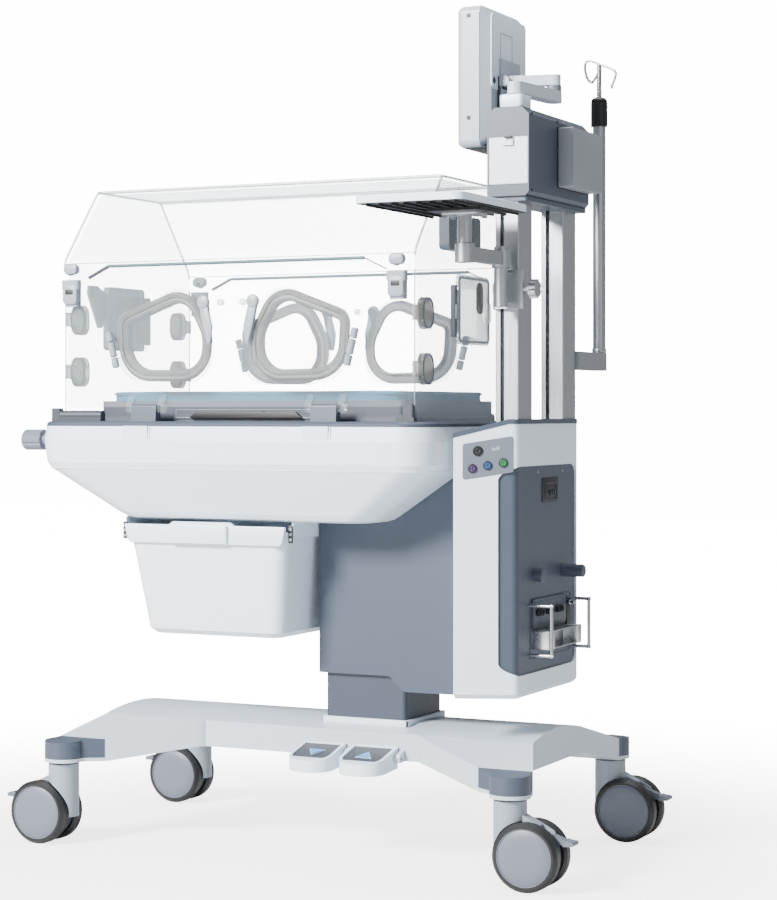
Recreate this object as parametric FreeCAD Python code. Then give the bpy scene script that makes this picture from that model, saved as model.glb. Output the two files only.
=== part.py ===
import FreeCAD, Part
import math
import os

# Infant incubator on a height-adjustable wheeled column.
# Millimetres, +X to the right seen from the front, -Y to the front, +Z up.
# Everything is built about the caster rectangle's centre and moved along Y at the end,
# so that the origin lies under the middle of the whole object.

# Clearances
RUN_FIT = 0.05
SLIDE_GAP = 0.5
SEAT_GAP = 0.3

# Casters
SWIVEL_X = 476.0
SWIVEL_Y = 273.0
CASTER_TRAIL = 40.5
WHEEL_R = 62.5
WHEEL_INNER_Y = 13.0
WHEEL_OUTER_Y = 40.0
WHEEL_DISC_R = 51.0
AXLE_R = 5.0
FORK_WEB_HALF = 12.0
STEM_R = 30.5
STEM_BOTTOM = 55.0
STEM_TOP = 159.0
SPIGOT_R = 10.0
SPIGOT_LENGTH = 24.0
BRAKE_PIVOT_OUT = 74.0
BRAKE_PIVOT_Z = 98.0
BRAKE_REACH = 125.0
BRAKE_PIN_R = 3.0
BRAKE_HALF_WIDTH = 7.0
BRAKE_PAD_HALF = 15.0

# Wheeled base
BEAM_HALF_X = 465.0
BEAM_HALF_Y = 130.0
BEAM_BOTTOM = 190.0
BEAM_EDGE_TOP = 242.0
BEAM_CROWN = 255.0
ARM_END_TOP = 203.0
ARM_END_BOTTOM = 163.0
CAP_LIP = 7.0
SOCKET_BOSS_R = 20.0

# Foot pedals
PEDAL_LEFT_X = (-8.0, 81.0)
PEDAL_RIGHT_X = (98.0, 191.0)
PEDAL_FRONT = -230.0
PEDAL_HINGE_Y = -146.0
PEDAL_HINGE_Z = 196.0
PEDAL_PIN_R = 4.0
PEDAL_REAR_TOP = 217.0
PEDAL_FRONT_TOP = 193.0
PEDAL_FRONT_BOTTOM = 170.0
PEDAL_REAR_BOTTOM = 176.0
LUG_WIDTH = 8.0

# Telescopic column
COLUMN_CENTRE_X = 100.5
COLUMN_HALF_X = 85.5
COLUMN_HALF_Y = 87.0
COLUMN_WALL = 4.0
COLUMN_FOOT = 249.0
COLUMN_TOP = 560.0
FLANGE_THICK = 12.0
FLANGE_OVERHANG = 7.0
COVER_GAP = 4.0
COVER_WALL = 6.0
COVER_BOTTOM = 347.0
COVER_LOW = 318.0
COVER_LOW_X = 186.0
COVER_SLOPE_X = 156.0
LIFT_TUBE_R = 25.0
LIFT_ROD_R = 15.0

# Side housing
HOUSING_PLAN = [(341.0, -217.0), (451.0, -169.0), (451.0, 153.0), (341.0, 201.0)]
HOUSING_LEFT = 341.0
HOUSING_BOTTOM = 326.0
HOUSING_TOP_LEFT = 809.0
HOUSING_TOP_RIGHT = 836.0
HOUSING_TOP_BEND_X = 435.0
HOUSING_EDGE_R = 14.0
HOUSING_WALL = 14.0
CAP_PLATE = 9.0
PANEL_RECESS = 4.0
PANEL_THICK = 4.0
PANEL_Y = (-184.0, 145.0)
PANEL_Z = (368.0, 757.0)
PANEL_CORNER_R = 26.0
SOCKETS = ((45.0, 786.0, 8.0), (35.0, 753.5, 5.5), (63.0, 759.0, 5.5), (92.0, 764.2, 5.5))
PEG_R = 12.5
PEG_Y = 75.0
PEG_Z = 551.0
PEG_LENGTHS = (21.0, 47.0)
INLET_Y = (-36.0, 46.0)
INLET_Z = (688.0, 731.0)
SERVICE_Y = (-92.0, 88.0)
SERVICE_Z = (450.0, 505.0)
HANDLE_Y = (-104.0, 102.0)
HANDLE_Z = (402.0, 495.0)
HANDLE_OUT_X = 495.0
HANDLE_ROD_R = 3.5
CHANNEL_Y = (-90.0, 88.0)
CHANNEL_Z = (412.0, 446.0)
CHANNEL_OUT_X = 481.0

# Tub, deck and drawer
TUB_CENTRE_X = -107.5
TUB_HALF_X = 430.5
TUB_HALF_Y = 295.0
TUB_CORNER_R = 60.0
TUB_TOP = 831.0
TUB_BAND = 84.0
TUB_CREASE = TUB_TOP - TUB_BAND
TUB_WIDEST_RISE = 55.0
TUB_WIDEST = TUB_CREASE + TUB_WIDEST_RISE
TUB_CREASE_INSET = 12.0
TUB_BOTTOM = 646.0
HULL_CENTRE_X = -108.0
HULL_HALF_X = 271.0
HULL_HALF_Y = 215.0
HULL_CORNER_R = 50.0
TUB_WALL = 5.0
DECK_THICK = 9.0
DECK_CHAMFER = 4.0
DRAWER_TOP_X = (-363.0, -8.0)
DRAWER_BOTTOM_X = (-321.0, -22.0)
DRAWER_TOP = 637.0
DRAWER_BOTTOM = 420.0
DRAWER_FRONT = -225.0
DRAWER_BACK = 200.0
DRAWER_WALL = 3.0
DRAWER_HANDLE_X = (-254.0, -125.0)
DRAWER_HANDLE_TOP = 643.0
DRAWER_SIDE_TOP = 612.0
RUNNER_WEB = 3.0
RUNNER_Z = (614.0, 620.0)
FLANGE_REACH = 7.0

# Hood
HOOD_SET_IN = (51.0, 43.0)
HOOD_X = (TUB_CENTRE_X - TUB_HALF_X + HOOD_SET_IN[0], TUB_CENTRE_X + TUB_HALF_X - HOOD_SET_IN[1])
HOOD_HALF_Y = 253.0
HOOD_WALL = 6.0
HOOD_SHOULDER = 1160.0
HOOD_ROOF = 1308.0
HOOD_ROOF_HALF_Y = 127.0
SPLIT_DROP = 36.0
HOOD_SPLIT = HOOD_SHOULDER - SPLIT_DROP
PANEL_BOTTOM = 868.0
PANEL_SLOPE_IN = 46.0
ACCESS_GAP = 0.6
HINGE_Y = 264.0
HINGE_Z = 863.0
HINGE_PIN_R = 3.0
HINGE_BLOCK_X = ((-320.0, -264.0), (73.0, 127.0))
HINGE_BLOCK_TOP = 873.0
HINGE_EAR = 14.0
PORT_MIRROR_X = -104.0
PORT_OUTLINE = [(-359.0, 1047.0), (-196.0, 1108.0), (-146.0, 1012.0), (-148.0, 915.0), (-352.0, 918.0)]
PORT_RADII = [26.0, 46.0, 60.0, 52.0, 56.0]
PORT_OUTLINE_CCW = list(reversed(PORT_OUTLINE))
PORT_RADII_CCW = list(reversed(PORT_RADII))
PORT_RIM = 14.0
GASKET_OUT = 8.0
PORT_PLATE = 4.0
PORT_HINGE_TOP = (-376.0, 1026.0)
PORT_HINGE_LOW = (-353.0, 935.0)
PORT_HINGE_R = 5.0
PORT_PIN_R = 2.5
PORT_HINGE_OFF = 17.0
PORT_HINGE_LENGTH = 60.0
LATCH_PIVOT = (-158.0, 1070.0)
LATCH_TIP = (-146.0, 994.0)
LATCH_R = 9.0
BUMPER = (-128.0, 1070.0)
PANEL_LATCH_SET_IN = (22.0, 33.0)
PANEL_LATCH_X = (HOOD_X[0] + PANEL_LATCH_SET_IN[0], HOOD_X[1] - PANEL_LATCH_SET_IN[1])
LATCH_GUIDE_Z = HOOD_SPLIT - 29.0
LATCH_STUD_Z = HOOD_SPLIT + 14.0
PANEL_LATCH_TRAVEL = 7.0
GROMMET_Y = 199.0
GROMMET_Z = (939.0, 1043.5)
GROMMET_HALF_Y = 26.5
GROMMET_HALF_Z = 30.0
GROMMET_NECK = 14.0
HATCH_HOLE_Y = (-60.0, 56.0)
HATCH_HOLE_Z = (1004.0, 1098.0)

# Mattress and trays
TRAY_X = (-422.0, 245.0)
TRAY_HALF_Y = 221.0
TRAY_BOTTOM = TUB_TOP + DECK_THICK + SEAT_GAP
TRAY_TOP = 880.0
TRAY_RIM = 9.0
TRAY_FLOOR = 4.0
TILT_PIN_R = 3.0
TILT_NOSE_R = 8.0
TILT_EAR_R = 7.0
TILT_EAR_THICK = 8.0
TILT_EAR_GAP = 1.0
TILT_AXIS = (TRAY_X[1] - TILT_NOSE_R, TRAY_BOTTOM + TILT_NOSE_R)
MATTRESS_THICK = 24.0
MATTRESS_R = 12.0
XRAY_SIDE_GAP = 1.0
XRAY_X = (HINGE_BLOCK_X[0][1] + SLIDE_GAP + HINGE_EAR + XRAY_SIDE_GAP,
          HINGE_BLOCK_X[1][0] - SLIDE_GAP - HINGE_EAR - XRAY_SIDE_GAP)
XRAY_Z = (845.0, 864.0)
KNOB_Y = -225.0
KNOB_R = 21.0
KNOB_REACH = 60.0
KNOB_OUT_X = TUB_CENTRE_X - TUB_HALF_X - KNOB_REACH
KNOB_SHAFT_R = 5.0

# Mast, head unit and screen
POST_X = (399.0, 446.0)
POST_INNER_Y = 84.0
POST_OUTER_Y = 154.0
POST_TOP = 1258.0
POST_WALL = 5.0
HEAD_X = (387.0, 470.0)
HEAD_Y = (-165.0, 163.0)
HEAD_TOP = 1424.0
HEAD_LIP = 8.0
DOOR_X = (391.0, 468.0)
DOOR_Z = (1280.0, 1369.0)
DOOR_THICK = 6.0
POD_X = 500.0
POD_Y = (-13.0, 152.0)
POD_Z = (1287.0, 1400.0)
ARM_BASE_X = (410.0, 455.0)
ARM_BASE_Y = (-162.0, -110.0)
ARM_BASE_TOP = 1448.0
SHOULDER = (432.0, -135.0)
ELBOW = (450.0, 21.0)
WRIST = (362.0, 4.0)
LINK_Z = (1452.0, 1474.0)
UPPER_LINK_Z = (1486.0, 1506.0)
LINK_R = 15.0
ELBOW_R = 13.0
ARM_PIN_R = 6.0
SCREEN_X = (286.0, 350.0)
SCREEN_Y = (-68.0, 141.0)
SCREEN_Z = (1365.0, 1638.0)
WRIST_Z = 1496.0

# Shelf, its arm and the pole
SHELF_X = (285.0, 492.0)
SHELF_Y = (-536.0, -217.0)
SHELF_TOP = 1234.0
SHELF_RIM = 12.5
SHELF_CORNER_R = 22.0
SHELF_TUBE = (428.0, -371.0)
SHELF_TUBE_R = 12.0
SHELF_ARM_PIVOT_Y = -197.0
SHELF_ARM_Z = (1124.0, 1157.0)
MOUNT_R = 13.0
POLE = (436.0, 320.0)
POLE_R = 13.0
POLE_BOTTOM = 942.0
POLE_TOP = 1440.0
POLE_WALL = 2.0
COLLAR_R = 17.0
COLLAR_TOP = 1492.0
ROD_R = 5.0
ROD_TRAVEL = 250.0
BRACKET_Z = (942.0, 978.0)
BRACKET_R = 15.5

V = FreeCAD.Vector
AXIS = {"x": V(1, 0, 0), "y": V(0, 1, 0), "z": V(0, 0, 1)}


# Shape helpers

def box(x0, x1, y0, y1, z0, z1):
    return Part.makeBox(x1 - x0, y1 - y0, z1 - z0, V(x0, y0, z0))


def cylinder(radius, length, base, axis="z"):
    return Part.makeCylinder(radius, length, V(*base), AXIS[axis])


def rod_between(start, end, radius):
    start, end = V(*start), V(*end)
    return Part.makeCylinder(radius, (end - start).Length, start, end - start)


def place(u, v, level, axis):
    """Point with in-plane coordinates u, v on the plane at level across the axis."""
    if axis == "x":
        return V(level, u, v)
    if axis == "y":
        return V(u, level, v)
    return V(u, v, level)


def rounded_wire(points, radii, level, axis):
    """Closed wire of straight sides joined by tangent arcs."""
    count = len(points)
    if not isinstance(radii, (list, tuple)):
        radii = [radii] * count
    starts, ends, middles = [], [], []
    for i in range(count):
        corner = V(points[i][0], points[i][1], 0)
        before = V(points[i - 1][0], points[i - 1][1], 0) - corner
        after = V(points[(i + 1) % count][0], points[(i + 1) % count][1], 0) - corner
        before.normalize()
        after.normalize()
        half = before.getAngle(after) / 2
        radius = radii[i]
        if radius <= 0:
            starts.append(corner)
            ends.append(corner)
            middles.append(None)
            continue
        reach = radius / math.tan(half)
        bisector = before + after
        bisector.normalize()
        centre = corner + bisector * (radius / math.sin(half))
        starts.append(corner + before * reach)
        ends.append(corner + after * reach)
        middles.append(centre - bisector * radius)
    edges = []
    for i in range(count):
        a, b = starts[i], ends[i]
        if middles[i] is not None:
            m = middles[i]
            edges.append(Part.Arc(place(a.x, a.y, level, axis), place(m.x, m.y, level, axis),
                                  place(b.x, b.y, level, axis)).toShape())
        c = starts[(i + 1) % count]
        if (c - b).Length > 1e-6:
            edges.append(Part.makeLine(place(b.x, b.y, level, axis), place(c.x, c.y, level, axis)))
    return Part.Wire(edges)


def prism(points, radii, axis, low, high):
    """Extrusion of a rounded polygon along an axis from low to high."""
    face = Part.Face(rounded_wire(points, radii, low, axis))
    return face.extrude(AXIS[axis] * (high - low))


def rectangle(u0, u1, v0, v1):
    return [(u0, v0), (u1, v0), (u1, v1), (u0, v1)]


def slab(x0, x1, y0, y1, z0, z1, radius):
    """Block with rounded vertical corners."""
    return prism(rectangle(x0, x1, y0, y1), radius, "z", z0, z1)


def inset(points, distance):
    """Convex or concave outline moved inwards; points run counter-clockwise."""
    moved = []
    count = len(points)
    for i in range(count):
        p = V(points[i][0], points[i][1], 0)
        back = p - V(points[i - 1][0], points[i - 1][1], 0)
        ahead = V(points[(i + 1) % count][0], points[(i + 1) % count][1], 0) - p
        back.normalize()
        ahead.normalize()
        n1 = V(-back.y, back.x, 0)
        n2 = V(-ahead.y, ahead.x, 0)
        n = n1 + n2
        n = n * (distance / (1 + n1.dot(n2)))
        moved.append((p.x + n.x, p.y + n.y))
    return moved


def loft(wires):
    return Part.makeLoft(wires, True, True)


def fuse(shapes):
    result = shapes[0].fuse(shapes[1:])
    return result.removeSplitter()


def cut(shape, tools):
    return shape.cut(tools)


def mirror_x(shape, x=0.0):
    return shape.mirror(V(x, 0, 0), AXIS["x"])


def mirror_y(shape):
    return shape.mirror(V(0, 0, 0), AXIS["y"])


def four_ways(shape):
    left = [shape, mirror_y(shape)]
    return left + [mirror_x(s) for s in left]


# Wheeled base

def arm_plan():
    """Outline of the front left quarter's arm, from the beam to the caster."""
    return [(-225.0, -BEAM_HALF_Y), (-400.0, -240.0), (-491.0, -304.0), (-513.0, -290.0),
            (-505.0, -235.0), (-BEAM_HALF_X, -BEAM_HALF_Y), (-BEAM_HALF_X, -BEAM_HALF_Y + 30.0),
            (-225.0, -BEAM_HALF_Y + 30.0)]


def side_profile():
    """Arched section of the base across Y, low at the caster ends."""
    reach = SWIVEL_Y + 40.0
    edge = BEAM_HALF_Y
    top = Part.Arc(V(0, -edge, BEAM_EDGE_TOP), V(0, 0, BEAM_CROWN), V(0, edge, BEAM_EDGE_TOP)).toShape()
    bend = SWIVEL_Y - 35.0
    ring = [V(0, edge, BEAM_EDGE_TOP), V(0, bend, ARM_END_TOP + 4.0), V(0, reach, ARM_END_TOP),
            V(0, reach, ARM_END_BOTTOM), V(0, bend, ARM_END_BOTTOM), V(0, edge + 10.0, BEAM_BOTTOM),
            V(0, -edge - 10.0, BEAM_BOTTOM), V(0, -bend, ARM_END_BOTTOM), V(0, -reach, ARM_END_BOTTOM),
            V(0, -reach, ARM_END_TOP), V(0, -bend, ARM_END_TOP + 4.0), V(0, -edge, BEAM_EDGE_TOP)]
    edges = [top] + [Part.makeLine(a, b) for a, b in zip(ring[:-1], ring[1:])]
    wire = Part.Wire(Part.__sortEdges__(edges))
    face = Part.Face(wire)
    face.translate(V(-SWIVEL_X - 80.0, 0, 0))
    return face.extrude(V(2 * SWIVEL_X + 160.0, 0, 0))


def base_envelope():
    beam = slab(-BEAM_HALF_X, BEAM_HALF_X, -BEAM_HALF_Y, BEAM_HALF_Y, ARM_END_BOTTOM, BEAM_CROWN, 10.0)
    radii = [40.0, 0.0, 12.0, 16.0, 0.0, 0.0, 0.0, 0.0]
    arm = prism(arm_plan(), radii, "z", ARM_END_BOTTOM, BEAM_CROWN)
    pad = cylinder(STEM_R + 7.5, BEAM_CROWN - ARM_END_BOTTOM, (-SWIVEL_X, -SWIVEL_Y, ARM_END_BOTTOM))
    plan = fuse([beam] + four_ways(arm) + four_ways(pad))
    return plan.common(side_profile())


def cap_region():
    low = ARM_END_BOTTOM + CAP_LIP
    plan = [(-392.0, -240.0), (-505.0 - 60.0, -240.0), (-505.0 - 60.0, -345.0), (-392.0, -345.0)]
    return prism(plan, 0, "z", low, BEAM_CROWN + 20.0)


def socket_boss():
    return cylinder(SOCKET_BOSS_R, SPIGOT_LENGTH + 4.0, (-SWIVEL_X, -SWIVEL_Y, ARM_END_BOTTOM))


def base_frame(envelope):
    caps = four_ways(cap_region())
    body = cut(envelope, caps)
    body = fuse([body] + four_ways(socket_boss()))
    pad_x = COLUMN_HALF_X + FLANGE_OVERHANG
    pad_y = COLUMN_HALF_Y + FLANGE_OVERHANG
    x0, x1 = COLUMN_CENTRE_X - pad_x, COLUMN_CENTRE_X + pad_x
    level = box(x0, x1, -pad_y, pad_y, BEAM_BOTTOM, COLUMN_FOOT)
    above = box(x0, x1, -pad_y, pad_y, COLUMN_FOOT, BEAM_CROWN + 5.0)
    body = cut(fuse([body, level]), [above])
    sockets = four_ways(cylinder(SPIGOT_R + RUN_FIT, SPIGOT_LENGTH + 0.5, (-SWIVEL_X, -SWIVEL_Y, ARM_END_BOTTOM)))
    body = cut(body, sockets)
    lugs = []
    for x0 in pedal_lug_places():
        side = [(-BEAM_HALF_Y + 2.0, BEAM_BOTTOM), (-BEAM_HALF_Y + 2.0, BEAM_BOTTOM + 22.0),
                (PEDAL_HINGE_Y - 8.0, BEAM_BOTTOM + 14.0), (PEDAL_HINGE_Y - 8.0, BEAM_BOTTOM - 2.0)]
        lugs.append(prism(side, [0, 0, 6.0, 6.0], "x", x0, x0 + LUG_WIDTH))
    body = fuse([body] + lugs)
    bore = cylinder(PEDAL_PIN_R + RUN_FIT, 260.0, (-30.0, PEDAL_HINGE_Y, PEDAL_HINGE_Z), "x")
    return cut(body, [bore])


def pedal_lug_places():
    middle = (PEDAL_LEFT_X[1] + PEDAL_RIGHT_X[0] - LUG_WIDTH) / 2
    side_gap = (PEDAL_RIGHT_X[0] - PEDAL_LEFT_X[1] - LUG_WIDTH) / 2
    return [PEDAL_LEFT_X[0] - side_gap - LUG_WIDTH, middle, PEDAL_RIGHT_X[1] + side_gap]


def arm_caps(envelope):
    caps = []
    bosses = four_ways(socket_boss())
    for region in four_ways(cap_region()):
        caps.append(cut(envelope.common(region), bosses))
    return Part.makeCompound(caps)


# Casters

def caster_fork():
    """Stem, wheel web and brake ears of the front left caster, trailing outwards."""
    x, y = -SWIVEL_X, -SWIVEL_Y
    wheel_x = x - CASTER_TRAIL
    pivot_x = x - BRAKE_PIVOT_OUT
    stem = cylinder(STEM_R, STEM_TOP - STEM_BOTTOM, (x, y, STEM_BOTTOM))
    clear_r = WHEEL_R + 2.0
    for side in (-1, 1):
        near = y + side * FORK_WEB_HALF if side > 0 else y - WHEEL_OUTER_Y
        stem = cut(stem, [cylinder(clear_r, WHEEL_OUTER_Y - FORK_WEB_HALF, (wheel_x, near, WHEEL_R), "y")])
    web_plan = [(x + 22.0, STEM_TOP - 20.0), (x + 10.0, STEM_BOTTOM), (wheel_x + 4.0, WHEEL_R - 18.0),
                (wheel_x - 16.0, WHEEL_R - 10.0), (pivot_x - 9.0, BRAKE_PIVOT_Z - 9.0),
                (pivot_x - 9.0, BRAKE_PIVOT_Z + 9.0), (x - 20.0, STEM_TOP - 20.0)]
    web = prism(web_plan, [0, 8.0, 12.0, 10.0, 8.0, 8.0, 0], "y", y - FORK_WEB_HALF, y + FORK_WEB_HALF)
    slot_x = x - BRAKE_PIVOT_OUT + 14.0
    slot_half = BRAKE_HALF_WIDTH + SLIDE_GAP
    slot = box(pivot_x - 30.0, slot_x, y - slot_half, y + slot_half, WHEEL_R + 6.0, STEM_TOP)
    neck = cylinder(STEM_R / 2, ARM_END_BOTTOM - SEAT_GAP - STEM_TOP, (x, y, STEM_TOP))
    spigot = cylinder(SPIGOT_R, SPIGOT_LENGTH + SEAT_GAP, (x, y, ARM_END_BOTTOM - SEAT_GAP))
    fork = cut(fuse([stem, web]), [slot])
    fork = fuse([fork, neck, spigot])
    axle_bore = cylinder(AXLE_R + RUN_FIT, 2 * STEM_R, (wheel_x, y - STEM_R, WHEEL_R), "y")
    pin_bore = cylinder(BRAKE_PIN_R + RUN_FIT, 2 * STEM_R, (pivot_x, y - STEM_R, BRAKE_PIVOT_Z), "y")
    return cut(fork, [axle_bore, pin_bore])


def wheel_profile(sign):
    """Half section of one wheel: dished disc, rounded tread."""
    y0, y1 = sign * WHEEL_INNER_Y, sign * WHEEL_OUTER_Y
    step = sign * 4.0
    return [(0.0, y0), (WHEEL_R - 5.0, y0), (WHEEL_R, y0 + sign * 5.0), (WHEEL_R, y1 - sign * 6.0),
            (WHEEL_R - 6.0, y1), (WHEEL_DISC_R, y1), (WHEEL_DISC_R - 2.0, y1 - step),
            (AXLE_R + 12.0, y1 - step), (AXLE_R + 8.0, y1), (0.0, y1)]


def caster_wheels():
    """Twin wheels on one axle, front left."""
    x, y = -SWIVEL_X - CASTER_TRAIL, -SWIVEL_Y
    parts = [cylinder(AXLE_R, 2 * WHEEL_INNER_Y + 4.0, (x, y - WHEEL_INNER_Y - 2.0, WHEEL_R), "y")]
    for sign in (-1, 1):
        outline = [V(x + r, y + v, WHEEL_R) for r, v in wheel_profile(sign)]
        face = Part.Face(Part.makePolygon(outline + outline[:1]))
        parts.append(face.revolve(V(x, y, WHEEL_R), AXIS["y"], 360))
    return fuse(parts)


def brake_pedal():
    x, y = -SWIVEL_X, -SWIVEL_Y
    pivot_x = x - BRAKE_PIVOT_OUT
    tip_x = x - BRAKE_REACH
    side = [(pivot_x + 8.0, BRAKE_PIVOT_Z - 7.0), (pivot_x + 8.0, BRAKE_PIVOT_Z + 7.0),
            (pivot_x - 12.0, BRAKE_PIVOT_Z + 5.0), (tip_x + 16.0, 95.0), (tip_x, 93.0), (tip_x, 86.0),
            (tip_x + 20.0, 85.0), (pivot_x - 4.0, BRAKE_PIVOT_Z - 9.0)]
    lever = prism(side, [5.0, 5.0, 0, 0, 3.0, 3.0, 0, 0], "y", y - BRAKE_PAD_HALF, y + BRAKE_PAD_HALF)
    wheel_edge = x - CASTER_TRAIL - WHEEL_R - 2.5
    narrow = []
    for sign in (-1, 1):
        inner = y + sign * BRAKE_HALF_WIDTH
        outer = y + sign * (BRAKE_PAD_HALF + 1.0)
        narrow.append(box(wheel_edge, x, min(inner, outer), max(inner, outer), 60.0, 140.0))
    lever = cut(lever, narrow)
    pin = cylinder(BRAKE_PIN_R, 2 * FORK_WEB_HALF, (pivot_x, y - FORK_WEB_HALF, BRAKE_PIVOT_Z), "y")
    return fuse([lever, pin])


def foot_pedal(span, arrow_up):
    """Sprung foot switch: rounded nose, raised rim round a sunk insert."""
    x0, x1 = span
    width = x1 - x0
    rear = -BEAM_HALF_Y - 2.0
    plan = [(x0, PEDAL_FRONT), (x1, PEDAL_FRONT), (x1, rear), (x0, rear)]
    nose = width * 0.42
    blank = prism(plan, [nose, nose, 3.0, 3.0], "z", PEDAL_FRONT_BOTTOM - 2.0, PEDAL_REAR_TOP + 2.0)
    side = [(rear, PEDAL_REAR_TOP), (PEDAL_FRONT, PEDAL_FRONT_TOP), (PEDAL_FRONT, PEDAL_FRONT_BOTTOM),
            (rear, PEDAL_REAR_BOTTOM)]
    body = blank.common(prism(side, 0, "x", x0 - 1.0, x1 + 1.0))
    rim = 6.0
    sunk_plan = [(x0 + rim, PEDAL_FRONT + rim), (x1 - rim, PEDAL_FRONT + rim), (x1 - rim, rear - rim),
                 (x0 + rim, rear - rim)]
    sunk = prism(sunk_plan, [nose - rim, nose - rim, 3.0, 3.0], "z", PEDAL_FRONT_BOTTOM, PEDAL_REAR_TOP + 2.0)
    depth = 2.5
    roof = [(rear + 5.0, PEDAL_REAR_TOP - depth), (PEDAL_FRONT - 5.0, PEDAL_FRONT_TOP - depth),
            (PEDAL_FRONT - 5.0, PEDAL_REAR_TOP + 10.0), (rear + 5.0, PEDAL_REAR_TOP + 10.0)]
    body = cut(body, [sunk.common(prism(roof, 0, "x", x0, x1))])
    body = fuse([body, pedal_arrow(span, arrow_up)])
    reach = (PEDAL_RIGHT_X[0] - PEDAL_LEFT_X[1] - LUG_WIDTH) / 2 + LUG_WIDTH * 0.45
    pin = cylinder(PEDAL_PIN_R, width + 2 * reach, (x0 - reach, PEDAL_HINGE_Y, PEDAL_HINGE_Z), "x")
    return fuse([body, pin])


def pedal_arrow(span, up):
    """Raised triangle that tells the direction."""
    x = (span[0] + span[1]) / 2
    y = (PEDAL_FRONT - BEAM_HALF_Y) / 2
    size = 17.0
    tip = size if up else -size
    plan = [(x - size, y - tip * 0.7), (x + size, y - tip * 0.7), (x, y + tip)]
    if not up:
        plan.reverse()
    block = prism(plan, 0, "z", PEDAL_REAR_BOTTOM + 6.0, PEDAL_REAR_TOP)
    rear = -BEAM_HALF_Y - 2.0
    side = [(rear, PEDAL_REAR_TOP - 1.5), (PEDAL_FRONT, PEDAL_FRONT_TOP - 1.5),
            (PEDAL_FRONT, PEDAL_FRONT_BOTTOM), (rear, PEDAL_REAR_BOTTOM)]
    return block.common(prism(side, 0, "x", x - 40.0, x + 40.0))


# Telescopic column

def inner_column():
    x0, x1 = COLUMN_CENTRE_X - COLUMN_HALF_X, COLUMN_CENTRE_X + COLUMN_HALF_X
    y = COLUMN_HALF_Y
    over = FLANGE_OVERHANG
    foot = COLUMN_FOOT + FLANGE_THICK
    flange = slab(x0 - over, x1 + over, -y - over, y + over, COLUMN_FOOT, foot, 4.0)
    column = slab(x0, x1, -y, y, COLUMN_FOOT, COLUMN_TOP, 8.0)
    wall = COLUMN_WALL
    hollow = slab(x0 + wall, x1 - wall, -y + wall, y - wall, COLUMN_FOOT, COLUMN_TOP, 4.0)
    return cut(fuse([flange, column]), [hollow])


def lift_actuator():
    tube = cylinder(LIFT_TUBE_R, COLUMN_TOP - 20.0 - COLUMN_FOOT, (COLUMN_CENTRE_X, 0, COLUMN_FOOT))
    motor = box(COLUMN_CENTRE_X - 60.0, COLUMN_CENTRE_X, -28.0, 28.0, COLUMN_FOOT, COLUMN_FOOT + 70.0)
    bore_low = COLUMN_FOOT + 30.0
    bore = cylinder(LIFT_ROD_R + RUN_FIT, COLUMN_TOP - bore_low, (COLUMN_CENTRE_X, 0, bore_low))
    return cut(fuse([tube, motor]), [bore])


def lift_rod():
    low = COLUMN_FOOT + 31.0
    return cylinder(LIFT_ROD_R, TUB_BOTTOM - low, (COLUMN_CENTRE_X, 0, low))


def column_cover(hull):
    half = COLUMN_HALF_Y + COVER_GAP + COVER_WALL
    x0 = COLUMN_CENTRE_X - COLUMN_HALF_X - COVER_GAP - COVER_WALL
    inner_half = half - COVER_WALL
    top = HOUSING_TOP_LEFT - 12.0
    side = [(x0, COVER_BOTTOM), (COVER_SLOPE_X, COVER_BOTTOM), (COVER_LOW_X, COVER_LOW),
            (HOUSING_LEFT, COVER_LOW), (HOUSING_LEFT, top), (x0, top)]
    body = prism(side, [0, 14.0, 14.0, 0, 0, 0], "y", -half, half)
    x1 = COLUMN_CENTRE_X + COLUMN_HALF_X + COVER_GAP
    well = box(x0 + COVER_WALL, x1, -inner_half, inner_half, COVER_LOW - 5.0, TUB_BOTTOM - COVER_WALL)
    chamber = box(x1 + COVER_WALL, HOUSING_LEFT - COVER_WALL, -inner_half, inner_half,
                  COVER_LOW + COVER_WALL, TUB_BOTTOM - COVER_WALL)
    bore = cylinder(LIFT_ROD_R, 20.0, (COLUMN_CENTRE_X, 0, TUB_BOTTOM - 15.0))
    body = cut(body, [well, chamber, hull, bore])
    return max(body.Solids, key=lambda s: s.Volume)


# Side housing

def housing_prism(distance, low, high, radius):
    return prism(inset(HOUSING_PLAN, distance), [0, radius, radius, 0], "z", low, high)


def sloped_top(lift, low):
    y = 260.0
    x0, x1 = HOUSING_LEFT - 5.0, HOUSING_PLAN[2][0] + 5.0
    left, right = HOUSING_TOP_LEFT + lift, HOUSING_TOP_RIGHT + lift
    side = [(x0, low), (x1, low), (x1, right), (HOUSING_TOP_BEND_X, right), (x0, left)]
    return prism(side, 0, "y", -y, y)


def panel_window(low, high):
    return prism(rectangle(PANEL_Y[0], PANEL_Y[1], PANEL_Z[0], PANEL_Z[1]), PANEL_CORNER_R, "x", low, high)


def panel_band(outer, inner):
    """Skin of the housing between two insets, inside the panel's window."""
    high = HOUSING_TOP_RIGHT
    x_low = HOUSING_TOP_BEND_X - 20.0
    skin = cut(housing_prism(outer, HOUSING_BOTTOM, high, 16.0),
               [housing_prism(inner, HOUSING_BOTTOM, high, 16.0)])
    return skin.common(panel_window(x_low, HOUSING_PLAN[2][0] + 10.0))


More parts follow.
